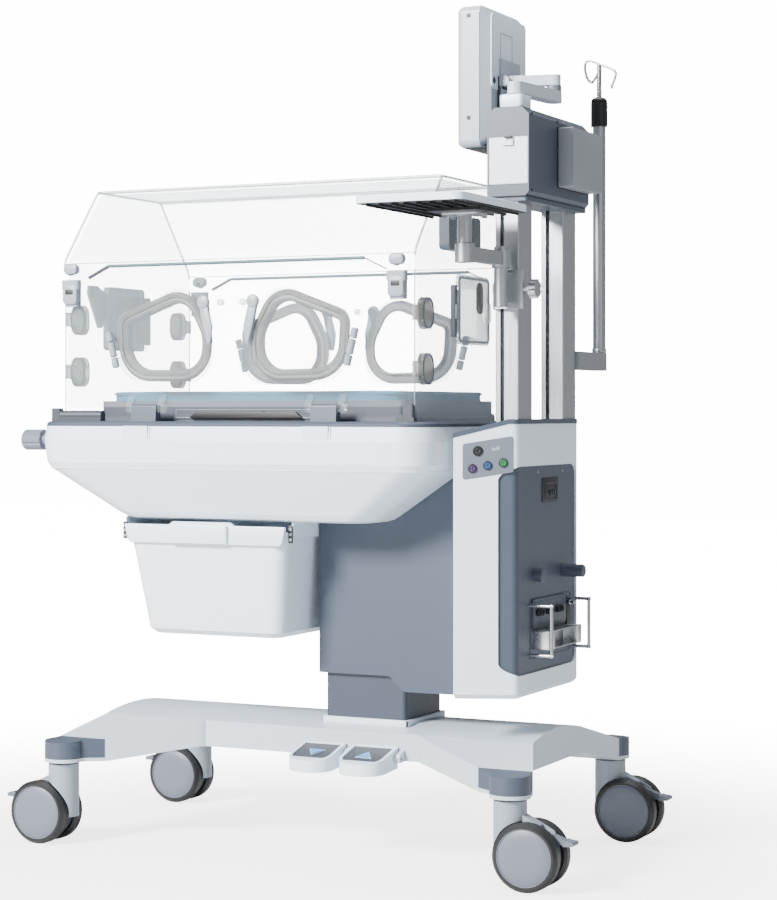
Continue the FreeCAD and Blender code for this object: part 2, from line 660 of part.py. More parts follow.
def side_housing():
    body = housing_prism(0, HOUSING_BOTTOM, HOUSING_TOP_RIGHT, 16.0)
    low_edges = [e for e in body.Edges if e.BoundBox.ZMax < HOUSING_BOTTOM + 1.0
                 and e.BoundBox.XMax > HOUSING_LEFT + 1.0]
    body = body.makeChamfer(HOUSING_EDGE_R * 0.6, low_edges)
    body = body.common(sloped_top(0, HOUSING_BOTTOM - 5.0))
    hollow = housing_prism(HOUSING_WALL, HOUSING_BOTTOM + HOUSING_WALL, HOUSING_TOP_LEFT - 20.0, 6.0)
    recess = panel_band(-1.0, PANEL_RECESS + PANEL_THICK)
    return cut(body, [hollow, recess] + socket_holes())


def face_frame(along, z):
    """Point and outward direction on the angled front face, measured from its left edge."""
    a, b = V(*HOUSING_PLAN[0], 0), V(*HOUSING_PLAN[1], 0)
    run = b - a
    run.normalize()
    out = V(run.y, -run.x, 0)
    return a + run * along + V(0, 0, z), out


def socket_holes():
    holes = []
    for along, z, radius in SOCKETS:
        point, out = face_frame(along, z)
        holes.append(Part.makeCylinder(radius, 8.0, point - out * 4.0, out))
    return holes


def mast_plate():
    body = housing_prism(-1.0, HOUSING_TOP_LEFT - 40.0, HOUSING_TOP_RIGHT + 30.0, 16.0)
    plate = body.common(cut(sloped_top(CAP_PLATE, HOUSING_BOTTOM), [sloped_top(0, HOUSING_BOTTOM - 5.0)]))
    return plate


def side_panel():
    plate = panel_band(PANEL_RECESS, PANEL_RECESS + PANEL_THICK)
    face_x = panel_face_x()
    inlet = box(face_x - 2.0, face_x + 20.0, *INLET_Y, *INLET_Z)
    plate = cut(plate, [inlet])
    pegs = []
    for y, length in zip((-PEG_Y, PEG_Y), PEG_LENGTHS):
        peg = cylinder(PEG_R, length, (face_x - 2.0, y, PEG_Z), "x")
        pegs.append(peg.makeChamfer(2.0, [e for e in peg.Edges if e.BoundBox.XMin > face_x + 5.0]))
    window = prism(rectangle(*SERVICE_Y, *SERVICE_Z), 8.0, "x", face_x - 2.0, face_x + 3.0)
    return fuse([plate, window] + pegs)


def panel_face_x():
    """X of the recessed panel's face."""
    return HOUSING_PLAN[1][0] - PANEL_RECESS


def service_metalwork():
    parts = []
    root = panel_face_x()
    for y in HANDLE_Y:
        z0, z1 = HANDLE_Z
        parts.append(fuse([cylinder(HANDLE_ROD_R, HANDLE_OUT_X - root, (root, y, z0), "x"),
                           cylinder(HANDLE_ROD_R, HANDLE_OUT_X - root, (root, y, z1), "x"),
                           cylinder(HANDLE_ROD_R, z1 - z0 + 2 * HANDLE_ROD_R,
                                    (HANDLE_OUT_X - HANDLE_ROD_R, y, z0 - HANDLE_ROD_R))]))
    z0, z1 = CHANNEL_Z
    channel = box(root, CHANNEL_OUT_X, *CHANNEL_Y, z0, z1)
    hollow = box(root + 4.0, CHANNEL_OUT_X + 1.0, CHANNEL_Y[0] + 2.0, CHANNEL_Y[1] - 2.0, z0 + 2.0, z1 - 2.0)
    parts.append(cut(channel, [hollow]))
    return Part.makeCompound(parts)


# Tub, deck and drawer

def tub_ring(z, shrink, grow=0.0):
    """Rounded rectangle between the hull's bottom and the band's widest line."""
    share = min(1.0, max(0.0, (z - TUB_BOTTOM) / (TUB_CREASE - TUB_BOTTOM)))
    centre = HULL_CENTRE_X + share * (TUB_CENTRE_X - HULL_CENTRE_X)
    half_x = HULL_HALF_X + share * (TUB_HALF_X - TUB_CREASE_INSET - HULL_HALF_X) - shrink
    half_y = HULL_HALF_Y + share * (TUB_HALF_Y - TUB_CREASE_INSET - HULL_HALF_Y) - shrink
    radius = HULL_CORNER_R + share * (TUB_CORNER_R - HULL_CORNER_R) - shrink * 0.6
    points = rectangle(centre - half_x, centre + half_x, -half_y, half_y)
    return rounded_wire(points, radius, z + grow, "z")


def tub_outer():
    rings = [tub_ring(TUB_BOTTOM, 12.0), tub_ring(TUB_BOTTOM + 4.0, 2.0), tub_ring(TUB_BOTTOM + 14.0, 0.0),
             tub_ring(TUB_CREASE, 0.0)]
    hull = loft(rings)
    band = loft([tub_ring(TUB_CREASE, 0.0), tub_ring(TUB_CREASE + 12.0, -7.0),
                 tub_ring(TUB_WIDEST, -TUB_CREASE_INSET), tub_ring(TUB_TOP, 4.0 - TUB_CREASE_INSET)])
    return fuse([hull, band])


def tub_inner():
    wall = TUB_WALL
    hull = loft([tub_ring(TUB_BOTTOM, 16.0, wall), tub_ring(TUB_CREASE, wall + 3.0)])
    band = loft([tub_ring(TUB_CREASE, wall + 3.0), tub_ring(TUB_TOP, wall - 5.0)])
    return fuse([hull, band])


def runners():
    """Moulded channels under the tub that carry the drawer's side flanges."""
    parts = []
    low, ledge = RUNNER_Z
    for edge, sign in ((DRAWER_TOP_X[0], -1), (DRAWER_TOP_X[1], 1)):
        reach = FLANGE_REACH + SLIDE_GAP
        web = sorted((edge + sign * reach, edge + sign * (reach + RUNNER_WEB)))
        lip = sorted((edge + sign * SLIDE_GAP * 2, edge + sign * (reach + RUNNER_WEB)))
        parts.append(box(*web, DRAWER_FRONT + 20.0, DRAWER_BACK - 4.0, low, TUB_BOTTOM + TUB_WALL - 1.0))
        parts.append(box(*lip, DRAWER_FRONT + 20.0, DRAWER_BACK - 4.0, low, ledge))
    return parts


def tub(outer):
    body = cut(outer, [tub_inner()])
    shaft = cylinder(KNOB_SHAFT_R + RUN_FIT, 60.0, (TUB_CENTRE_X - TUB_HALF_X - 20.0, KNOB_Y, TUB_WIDEST), "x")
    tabs = []
    for x0, x1 in HINGE_BLOCK_X:
        tabs.append(box(x0 - 7.0, x1 - 7.0, -TUB_HALF_Y - 0.6, -TUB_HALF_Y + 12.0, TUB_TOP - 25.0, TUB_TOP))
    tabs = tabs + [mirror_y(t) for t in tabs]
    return cut(fuse([body] + runners() + tabs), [shaft])


def hinge_block(x0, x1):
    """Block on the deck that carries one hinge pin of an access panel."""
    side = [(-HINGE_Y - 11.0, TUB_TOP + DECK_THICK - 2.0), (-HINGE_Y - 8.0, HINGE_BLOCK_TOP),
            (-HINGE_Y + 8.0, HINGE_BLOCK_TOP), (-HINGE_Y + 10.0, TUB_TOP + DECK_THICK - 2.0)]
    block = prism(side, [0, 5.0, 5.0, 0], "x", x0, x1)
    bore = cylinder(HINGE_PIN_R + RUN_FIT, x1 - x0, (x0, -HINGE_Y, HINGE_Z), "x")
    return cut(block, [bore])


def deck():
    top = TUB_TOP + DECK_THICK
    lower = [tub_ring(TUB_TOP, 4.0 - TUB_CREASE_INSET), tub_ring(top - DECK_CHAMFER, 4.0 - TUB_CREASE_INSET)]
    upper = [tub_ring(top - DECK_CHAMFER, 4.0 - TUB_CREASE_INSET), tub_ring(top, 9.0 - TUB_CREASE_INSET)]
    plate = fuse([loft(lower), loft(upper)])
    blocks = [hinge_block(*span) for span in HINGE_BLOCK_X] + [tilt_ear()]
    blocks = blocks + [mirror_y(b) for b in blocks]
    vents = []
    for i in range(12):
        x = TRAY_X[0] + 20.0 + i * 52.0
        for sign in (-1, 1):
            y = sign * (TRAY_HALF_Y + 12.0)
            vents.append(slab(x, x + 40.0, y - 4.0, y + 4.0, TUB_TOP - 1.0, top + 1.0, 3.9))
    plate = cut(fuse([plate] + blocks), vents)
    return Part.makeCompound([plate, mast_plate()])


def air_unit():
    """Fan scroll and heater block on the tub's floor."""
    x = TUB_CENTRE_X + 40.0
    low = TUB_BOTTOM + TUB_WALL
    scroll = cylinder(90.0, 60.0, (x, 0, low))
    inlet = cylinder(45.0, 40.0, (x, 0, low + 30.0))
    duct = box(x - 200.0, x, 20.0, 90.0, low, low + 60.0)
    return cut(fuse([scroll, duct]), [inlet])


def drawer_ring(z, shrink):
    share = (z - DRAWER_BOTTOM) / (DRAWER_TOP - DRAWER_BOTTOM)
    x0 = DRAWER_BOTTOM_X[0] + share * (DRAWER_TOP_X[0] - DRAWER_BOTTOM_X[0]) + shrink
    x1 = DRAWER_BOTTOM_X[1] + share * (DRAWER_TOP_X[1] - DRAWER_BOTTOM_X[1]) - shrink
    y0 = DRAWER_FRONT + (1 - share) * 12.0 + shrink
    y1 = DRAWER_BACK - (1 - share) * 20.0 - shrink
    return rounded_wire(rectangle(x0, x1, y0, y1), 26.0 - shrink * 0.5, z, "z")


def drawer():
    wall = DRAWER_WALL
    shell = fuse([loft([drawer_ring(DRAWER_BOTTOM, 12.0), drawer_ring(DRAWER_BOTTOM + 10.0, 1.0)]),
                  loft([drawer_ring(DRAWER_BOTTOM + 10.0, 1.0), drawer_ring(DRAWER_SIDE_TOP + 14.0, 0.0)])])
    lip_x0, lip_x1 = DRAWER_HANDLE_X
    front = DRAWER_FRONT
    lip = prism([(lip_x0 - 40.0, DRAWER_SIDE_TOP), (lip_x1 + 40.0, DRAWER_SIDE_TOP),
                 (lip_x1, DRAWER_HANDLE_TOP), (lip_x0, DRAWER_HANDLE_TOP)], [0, 0, 10.0, 10.0],
                "y", front, front + 2 * wall)
    inner = loft([drawer_ring(DRAWER_BOTTOM + wall, 14.0), drawer_ring(DRAWER_BOTTOM + 12.0, wall + 1.0)])
    inner = fuse([inner, loft([drawer_ring(DRAWER_BOTTOM + 12.0, wall + 1.0),
                               drawer_ring(DRAWER_TOP, wall)])])
    ledge = RUNNER_Z[1] + SLIDE_GAP
    flanges = []
    for edge, sign in ((DRAWER_TOP_X[0], -1), (DRAWER_TOP_X[1], 1)):
        span = sorted((edge - sign * 6.0, edge + sign * FLANGE_REACH))
        flanges.append(box(*span, front + 30.0, DRAWER_BACK - 26.0, ledge, ledge + 4.0))
    return cut(fuse([shell, lip] + flanges), [inner])


def tilt_knob():
    x0 = TUB_CENTRE_X - TUB_HALF_X
    face = x0 - SLIDE_GAP * 2
    length = face - KNOB_OUT_X
    grip = cylinder(KNOB_R, length - 14.0, (KNOB_OUT_X, KNOB_Y, TUB_WIDEST), "x")
    grip = grip.makeChamfer(3.0, [e for e in grip.Edges if e.BoundBox.XMax < KNOB_OUT_X + 1.0])
    neck = cylinder(KNOB_R * 0.6, length, (KNOB_OUT_X, KNOB_Y, TUB_WIDEST), "x")
    flutes = []
    for i in range(8):
        angle = math.radians(45.0 * i + 22.5)
        flutes.append(cylinder(4.0, length, (KNOB_OUT_X - 1.0, KNOB_Y + (KNOB_R + 2.0) * math.cos(angle),
                                             TUB_WIDEST + (KNOB_R + 2.0) * math.sin(angle)), "x"))
    shaft = cylinder(KNOB_SHAFT_R, length + 30.0, (KNOB_OUT_X, KNOB_Y, TUB_WIDEST), "x")
    return fuse([cut(grip, flutes), neck, shaft])


# Mattress and trays

def mattress_tray():
    x0, x1 = TRAY_X
    y = TRAY_HALF_Y
    body = slab(x0, x1, -y, y, TRAY_BOTTOM, TRAY_TOP, 14.0)
    rim = TRAY_RIM
    floor = XRAY_Z[1] + SLIDE_GAP + TRAY_FLOOR
    well = slab(x0 + rim, x1 - rim, -y + rim, y - rim, floor, TRAY_TOP, 8.0)
    gap = SLIDE_GAP
    slot = box(XRAY_X[0] - gap, XRAY_X[1] + gap, -y, y - 12.0, XRAY_Z[0] - gap, XRAY_Z[1] + gap)
    x, z = TILT_AXIS
    corner = box(x, x1 + 1.0, -y, y, TRAY_BOTTOM, z)
    nose = cylinder(TILT_NOSE_R, 2 * y, (x, -y, z), "y")
    bores = [cylinder(TILT_PIN_R + RUN_FIT, TRAY_RIM, (x, side, z), "y") for side in (-y, y - TRAY_RIM)]
    return cut(body, [well, slot, cut(corner, [nose])] + bores)


def tilt_ear():
    """Ear on the deck with the pin that the mattress tray tilts about."""
    x, z = TILT_AXIS
    inner = -TRAY_HALF_Y - TILT_EAR_GAP
    outer = inner - TILT_EAR_THICK
    web = box(x - TILT_EAR_R, x + TILT_EAR_R, outer, inner, TUB_TOP + DECK_THICK - 1.0, z)
    head = cylinder(TILT_EAR_R, TILT_EAR_THICK, (x, outer, z), "y")
    pin = cylinder(TILT_PIN_R, TILT_EAR_THICK + TILT_EAR_GAP + TRAY_RIM - 1.0, (x, outer, z), "y")
    return fuse([web, head, pin])


def xray_tray():
    x0, x1 = XRAY_X
    y = TRAY_HALF_Y
    z0, z1 = XRAY_Z
    body = box(x0, x1, -y - 3.0, y - 16.0, z0, z1)
    well = box(x0 + 6.0, x1 - 6.0, -y + 8.0, y - 22.0, z0 + 3.0, z1)
    pull = slab((x0 + x1) / 2 - 45.0, (x0 + x1) / 2 + 45.0, -y - 10.0, -y, z0 + 2.0, z1 - 4.0, 3.0)
    return cut(fuse([body, pull]), [well])


def mattress():
    gap = 2.0
    y = TRAY_HALF_Y - TRAY_RIM - gap
    low = XRAY_Z[1] + SLIDE_GAP + TRAY_FLOOR + SEAT_GAP
    body = slab(TRAY_X[0] + TRAY_RIM + gap, TRAY_X[1] - TRAY_RIM - gap, -y, y, low,
                low + MATTRESS_THICK + 7.0, 30.0)
    edges = [e for e in body.Edges if e.BoundBox.ZMin > low + MATTRESS_THICK]
    return body.makeFillet(MATTRESS_R, edges)


# Hood, access panels and ports

def hood_outline(distance):
    y, roof = HOOD_HALF_Y, HOOD_ROOF_HALF_Y
    low = TUB_TOP + DECK_THICK
    points = [(-y, low), (y, low), (y, HOOD_SHOULDER), (roof, HOOD_ROOF), (-roof, HOOD_ROOF),
              (-y, HOOD_SHOULDER)]
    return inset(points, distance)


def hood_shell():
    radii = [0, 0, 30.0, 25.0, 25.0, 30.0]
    wall = HOOD_WALL
    outer = prism(hood_outline(0), radii, "x", *HOOD_X)
    inner_radii = [0, 0, 24.0, 19.0, 19.0, 24.0]
    inner = prism(hood_outline(wall), inner_radii, "x", HOOD_X[0] + wall, HOOD_X[1] - wall)
    floor = box(HOOD_X[0] + wall, HOOD_X[1] - wall, -HOOD_HALF_Y + wall, HOOD_HALF_Y - wall,
                TUB_TOP, TUB_TOP + DECK_THICK + wall + 1.0)
    return cut(outer, [inner, floor])


def access_outline(gap):
    """Access panel seen from the front: a low rectangle with a raised middle."""
    x0, x1 = HOOD_X[0] + 2.0 - gap, HOOD_X[1] - 2.0 + gap
    step = 56.0
    slope = PANEL_SLOPE_IN
    return [(x0, PANEL_BOTTOM - gap), (x1, PANEL_BOTTOM - gap), (x1, HOOD_SPLIT + gap),
            (x1 - step, HOOD_SPLIT + gap), (x1 - step - slope, HOOD_SHOULDER - 14.0 + gap),
            (x0 + step + slope, HOOD_SHOULDER - 14.0 + gap), (x0 + step, HOOD_SPLIT + gap),
            (x0, HOOD_SPLIT + gap)]


def hood():
    body = hood_shell()
    y_in = HOOD_HALF_Y - HOOD_WALL - ACCESS_GAP
    opening = prism(access_outline(ACCESS_GAP), 0, "y", y_in, HOOD_HALF_Y + 1.0)
    edge = box(HOOD_X[0] - 1.0, HOOD_X[1] + 1.0, y_in, HOOD_HALF_Y + 1.0, TUB_TOP, HOOD_SPLIT + ACCESS_GAP)
    holes = [opening, mirror_y(opening), edge, mirror_y(edge)]
    for x in HOOD_X:
        holes.append(box(x - 10.0, x + 10.0, *HATCH_HOLE_Y, *HATCH_HOLE_Z))
        holes.append(grommet_cores(x, 0.0))
    return cut(body, holes)


def grommet_core(y, z, shrink):
    """Round tube passage with a neck to the wall's edge."""
    half_y, half_z = GROMMET_HALF_Y - shrink, GROMMET_HALF_Z - shrink
    edge = HOOD_HALF_Y - HOOD_WALL - ACCESS_GAP
    sign = 1 if y > 0 else -1
    disc = prism(rectangle(y - half_y, y + half_y, z - half_z, z + half_z), half_y * 0.8, "x", 0, 1.0)
    span = sorted((y, sign * edge))
    neck = box(0, 1.0, *span, z - GROMMET_NECK + shrink * 0.5, z + GROMMET_NECK - shrink * 0.5)
    return fuse([disc, neck])


def stretched(shape, low, high):
    """Unit-thick piece scaled along X and set between low and high."""
    matrix = FreeCAD.Matrix()
    matrix.scale(high - low, 1.0, 1.0)
    piece = shape.transformGeometry(matrix)
    piece.translate(V(low, 0, 0))
    return piece


def grommet_places():
    return [(sign * GROMMET_Y, z) for sign in (-1, 1) for z in GROMMET_Z]


def wall_span(x):
    return (x, x + HOOD_WALL) if x < 0 else (x - HOOD_WALL, x)


def grommet_cores(x, shrink):
    low, high = wall_span(x)
    cores = []
    for y, z in grommet_places():
        cores.append(stretched(grommet_core(y, z, shrink + 5.0), low, high))
    return Part.makeCompound(cores)


def grommets():
    parts = []
    for x in HOOD_X:
        low, high = wall_span(x)
        for y, z in grommet_places():
            core = stretched(grommet_core(y, z, 5.0), low, high)
            flanges = [stretched(grommet_core(y, z, 0.0), low - 3.0, low),
                       stretched(grommet_core(y, z, 0.0), high, high + 3.0)]
            parts.append(fuse([core] + flanges))
    return Part.makeCompound(parts)


def port_hinge(radius, low, high):
    """Cylinder along the left port's tilted hinge line, between shares of its length."""
    top, bottom = PORT_HINGE_TOP, PORT_HINGE_LOW
    middle = V((top[0] + bottom[0]) / 2, -HOOD_HALF_Y - PORT_HINGE_OFF, (top[1] + bottom[1]) / 2)
    line = V(top[0] - bottom[0], 0, top[1] - bottom[1])
    line.normalize()
    half = PORT_HINGE_LENGTH / 2
    return Part.makeCylinder(radius, (high - low) * half, middle + line * (low * half), line)


def port_lugs():
    """Hinge lugs of the left port on the access panel, with the fixed pin between them."""
    face = -HOOD_HALF_Y
    lugs = []
    for low, high in ((-1.0, -0.55), (0.55, 1.0)):
        barrel = port_hinge(PORT_HINGE_R, low, high)
        block = barrel.copy()
        block.translate(V(0, PORT_HINGE_OFF / 2 + 1.0, 0))
        foot = barrel.copy()
        foot.translate(V(0, PORT_HINGE_OFF - 3.0, 0))
        lugs.append(fuse([barrel, block, foot]))
    room = box(-600.0, 400.0, face - 40.0, face, 800.0, 1200.0)
    lugs = [lug.common(room) for lug in lugs]
    return lugs + [port_hinge(PORT_PIN_R, -1.0, 1.0)]


def bumper():
    return cylinder(6.5, 16.0, (BUMPER[0], -HOOD_HALF_Y - 16.0, BUMPER[1]), "y")


def access_panel():
    """Front access panel with port holes, hinge ears, lugs, catches and latch guides."""
    y0, y1 = -HOOD_HALF_Y, -HOOD_HALF_Y + HOOD_WALL
    plate = prism(access_outline(0.0), [18.0, 18.0, 6.0, 0, 14.0, 14.0, 0, 6.0], "y", y0, y1)
    hole = prism(inset(PORT_OUTLINE_CCW, PORT_RIM), [max(4.0, r - PORT_RIM) for r in PORT_RADII_CCW],
                 "y", y0 - 1.0, y1 + 1.0)
    port_side = port_lugs() + [bumper()]
    added = port_side + [mirror_x(s, PORT_MIRROR_X) for s in port_side]
    for x0, x1 in HINGE_BLOCK_X:
        for start in (x0 - SLIDE_GAP - HINGE_EAR, x1 + SLIDE_GAP):
            side = [(-HINGE_Y - 6.0, HINGE_Z - 6.0), (-HINGE_Y + 6.0, HINGE_Z - 6.0), (y0, HINGE_Z + 10.0),
                    (y0, HINGE_Z + 30.0), (-HINGE_Y - 6.0, HINGE_Z + 8.0)]
            added.append(prism(side, [5.0, 5.0, 0, 0, 5.0], "x", start, start + HINGE_EAR))
        added.append(cylinder(HINGE_PIN_R, x1 - x0 + 4.0, (x0 - 2.0, -HINGE_Y, HINGE_Z), "x"))
    for x in PANEL_LATCH_X:
        added.append(cylinder(2.5, 4.5, (x, y0 - 4.5, LATCH_GUIDE_Z), "y"))
        added.append(cylinder(4.0, 2.0, (x, y0 - 6.5, LATCH_GUIDE_Z), "y"))
    return fuse([cut(plate, [hole, mirror_x(hole, PORT_MIRROR_X)])] + added)


def port_door():
    """Front left door: clear plate in a soft rim, knuckle on its hinge line, latch boss."""
    face = -HOOD_HALF_Y - SEAT_GAP
    back, front = face - GASKET_OUT, face - GASKET_OUT - PORT_PLATE
    plate = prism(PORT_OUTLINE_CCW, PORT_RADII_CCW, "y", front, back)
    rim_in = [max(4.0, r - 9.0) for r in PORT_RADII_CCW]
    ring = cut(prism(inset(PORT_OUTLINE_CCW, 1.0), PORT_RADII_CCW, "y", back, face),
               [prism(inset(PORT_OUTLINE_CCW, 10.0), rim_in, "y", back, face)])
    knuckle = port_hinge(PORT_HINGE_R, -0.5, 0.5)
    leaf = port_hinge(2.2, -0.5, 0.5)
    leaves = []
    for step in range(8):
        piece = leaf.copy()
        piece.translate(V(3.0 * step, min(4.0, 1.0 * step), 0))
        leaves.append(piece)
    boss = cylinder(8.0, PORT_PLATE, (LATCH_PIVOT[0], front, LATCH_PIVOT[1]), "y")
    arm = rod_between((LATCH_PIVOT[0], front, LATCH_PIVOT[1]), (LATCH_PIVOT[0], back, LATCH_PIVOT[1]), 8.0)
    link = prism([(-200.0, 1040.0), (-165.0, 1020.0), (-152.0, 1068.0), (-164.0, 1074.0)], 0, "y", front, back)
    stud = cylinder(2.5, 8.0, (LATCH_PIVOT[0], front - 8.0, LATCH_PIVOT[1]), "y")
    solid = fuse([plate, ring, knuckle, boss, arm, link, stud] + leaves)
    return cut(solid, [port_hinge(PORT_PIN_R + RUN_FIT, -0.6, 0.6)])


def port_latch():
    """Lever that turns on the door's stud and hooks behind the panel's catch."""
    front = -HOOD_HALF_Y - SEAT_GAP - GASKET_OUT - PORT_PLATE
    y0, y1 = front - 7.0, front - 1.0
    hub = cylinder(LATCH_R, y1 - y0, (LATCH_PIVOT[0], y0, LATCH_PIVOT[1]), "y")
    tip = cylinder(5.0, y1 - y0, (LATCH_TIP[0], y0, LATCH_TIP[1]), "y")
    lever = prism([(LATCH_PIVOT[0] - LATCH_R, LATCH_PIVOT[1]), (LATCH_TIP[0] - 5.0, LATCH_TIP[1]),
                   (LATCH_TIP[0] + 5.0, LATCH_TIP[1]), (LATCH_PIVOT[0] + LATCH_R, LATCH_PIVOT[1])],
                  0, "y", y0, y1)
    bore = cylinder(2.5 + RUN_FIT, 12.0, (LATCH_PIVOT[0], y0 - 1.0, LATCH_PIVOT[1]), "y")
    return cut(fuse([hub, tip, lever]), [bore])


def panel_latches():
    """Two sliding latches on the front access panel."""
    y0 = -HOOD_HALF_Y - SEAT_GAP
    parts = []
    for x in PANEL_LATCH_X:
        back = box(x - 17.0, x + 17.0, y0 - 3.0, y0, HOOD_SPLIT - 56.0, HOOD_SPLIT - 3.0)
        upper = slab(x - 20.0, x + 20.0, y0 - 17.0, y0, HOOD_SPLIT - 22.0, HOOD_SPLIT - 3.0, 6.0)
        lower = slab(x - 15.0, x + 15.0, y0 - 12.0, y0, HOOD_SPLIT - 56.0, HOOD_SPLIT - 41.0, 4.0)
        slot = box(x - 2.6, x + 2.6, y0 - 5.0, y0 + 1.0,
                   LATCH_GUIDE_Z - 2.6 - PANEL_LATCH_TRAVEL, LATCH_GUIDE_Z + 2.6)
        parts.append(cut(fuse([back, upper, lower]), [slot]))
    return Part.makeCompound(parts)


def hood_fittings():
    """Latch studs, front clamp levers and right end clamp brackets."""
    parts = []
    low = TUB_TOP + DECK_THICK
    for x in PANEL_LATCH_X:
        stud = fuse([cylinder(4.0, 12.0, (x, -HOOD_HALF_Y - 12.0, LATCH_STUD_Z), "y"),
                     cylinder(8.5, 6.0, (x, -HOOD_HALF_Y - 15.0, LATCH_STUD_Z), "y")])
        parts.append(stud)
    bar = cylinder(9.0, 96.0, (HOOD_X[0] + 3.0, -HINGE_Y - 4.0, low + 12.0), "x")
    foot = box(HOOD_X[0] + 3.0, HOOD_X[0] + 99.0, -HINGE_Y - 13.0, -HINGE_Y + 5.0, low, low + 8.0)
    lever = slab(HOOD_X[0] - 18.0, HOOD_X[0] + 4.0, -HINGE_Y - 12.0, -HINGE_Y + 4.0, low, low + 26.0, 5.0)
    parts.append(fuse([bar, foot, lever]))
    x1 = HOOD_X[1]
    parts.append(fuse([box(x1 - 30.0, x1 + 6.0, -HINGE_Y - 10.0, -HINGE_Y + 4.0, low, low + 8.0),
                       slab(x1 - 20.0, x1 + 4.0, -HINGE_Y - 8.0, -HINGE_Y + 4.0, low, low + 31.0, 4.0)]))
    return Part.makeCompound(parts + [mirror_y(p) for p in parts])


def hatch_left():
    x = HOOD_X[0] - SEAT_GAP
    cover = prism(rectangle(-83.0, 62.0, 986.0, 1117.0), 10.0, "x", x - 14.0, x)
    lever = prism([(-150.0, 1117.0), (-150.0, 1096.0), (-112.0, 1031.0), (-100.0, 1031.0), (-83.0, 1070.0),
                   (-83.0, 1100.0), (-118.0, 1117.0)], 0, "x", x - 11.0, x - 5.0)
    leaf = box(x - 10.0, x, 60.0, 84.0, 1000.0, 1100.0)
    barrel = cylinder(5.0, 100.0, (x - 5.0, 86.0, 1000.0))
    bore = cylinder(PORT_PIN_R + RUN_FIT, 104.0, (x - 5.0, 86.0, 998.0))
    return cut(fuse([cover, lever, leaf, barrel]), [bore])


def hatch_right():
    x = HOOD_X[1] + SEAT_GAP
    plate = prism(rectangle(-62.0, 98.0, 989.0, 1124.0), 12.0, "x", x + 1.0, x + 5.0)
    rim = cut(prism(rectangle(-62.0, 98.0, 989.0, 1124.0), 12.0, "x", x, x + 1.0),
              [prism(rectangle(-54.0, 90.0, 997.0, 1116.0), 8.0, "x", x, x + 1.0)])
    barrel = cylinder(5.0, 80.0, (x + 5.0, -70.0, 1012.0))
    leaf = box(x + 1.0, x + 5.0, -70.0, -60.0, 1012.0, 1092.0)
    bore = cylinder(PORT_PIN_R + RUN_FIT, 84.0, (x + 5.0, -70.0, 1010.0))
    tongue = prism([(60.0, 1030.0), (98.0, 1036.0), (98.0, 1072.0), (60.0, 1078.0)], [12.0, 4.0, 4.0, 12.0],
                   "x", x + 5.0, x + 9.0)
    return cut(fuse([plate, rim, barrel, leaf, tongue]), [bore])


def hatch_pins():
    """Hinge pins of both end hatches, held by lugs on the hood's end walls."""
    parts = []
    for x, sign, y, low, high in ((HOOD_X[0], -1, 86.0, 1000.0, 1100.0), (HOOD_X[1], 1, -70.0, 1012.0, 1092.0)):
        centre = x + sign * (SEAT_GAP + 5.0)
        pin = cylinder(PORT_PIN_R, high - low + 24.0, (centre, y, low - 12.0))
        lugs = []
        for z in (low - 12.0, high + SLIDE_GAP):
            span = sorted((x, centre + sign * 5.0))
            lugs.append(box(*span, y - 5.0, y + 5.0, z, z + 11.5))
        parts.append(fuse([pin] + lugs))
    return parts


def sensor_box():
    """Air and temperature sensor housing inside the right end wall."""
    x1 = HOOD_X[1] - HOOD_WALL
    body = prism(rectangle(-80.0, 80.0, 1171.0, 1240.0), 10.0, "x", x1 - 21.0, x1)
    slots = [box(x1 - 22.0, x1 - 17.0, -60.0, 60.0, z, z + 4.0) for z in (1184.0, 1194.0, 1204.0, 1214.0)]
    return cut(body, slots)


# Mast, head unit, monitor

def mast_post(sign):
    """Slotted aluminium profile standing on the mast plate."""
    x0, x1 = POST_X
    y0, y1 = sorted((sign * POST_INNER_Y, sign * POST_OUTER_Y))
    low = HOUSING_TOP_RIGHT + CAP_PLATE
    body = slab(x0, x1, y0, y1, low - 20.0, POST_TOP, 3.0)
    wall = POST_WALL
    core = box(x0 + wall, x1 - wall, y0 + 18.0, y1 - 18.0, low - 20.0, POST_TOP)
    cuts = [core]
    slot_x = x0 + 14.0
    for face, into in ((y0, 1), (y1, -1)):
        cuts.append(box(slot_x - 4.0, slot_x + 4.0, *sorted((face, face + into * 14.0)), low - 20.0, POST_TOP))
        cuts.append(box(slot_x - 9.0, slot_x + 9.0, *sorted((face + into * 4.0, face + into * 11.0)),
                        low - 20.0, POST_TOP))
    return cut(body, cuts + [sloped_top(CAP_PLATE, HOUSING_BOTTOM)])


def mast_posts():
    return Part.makeCompound([mast_post(-1), mast_post(1)])


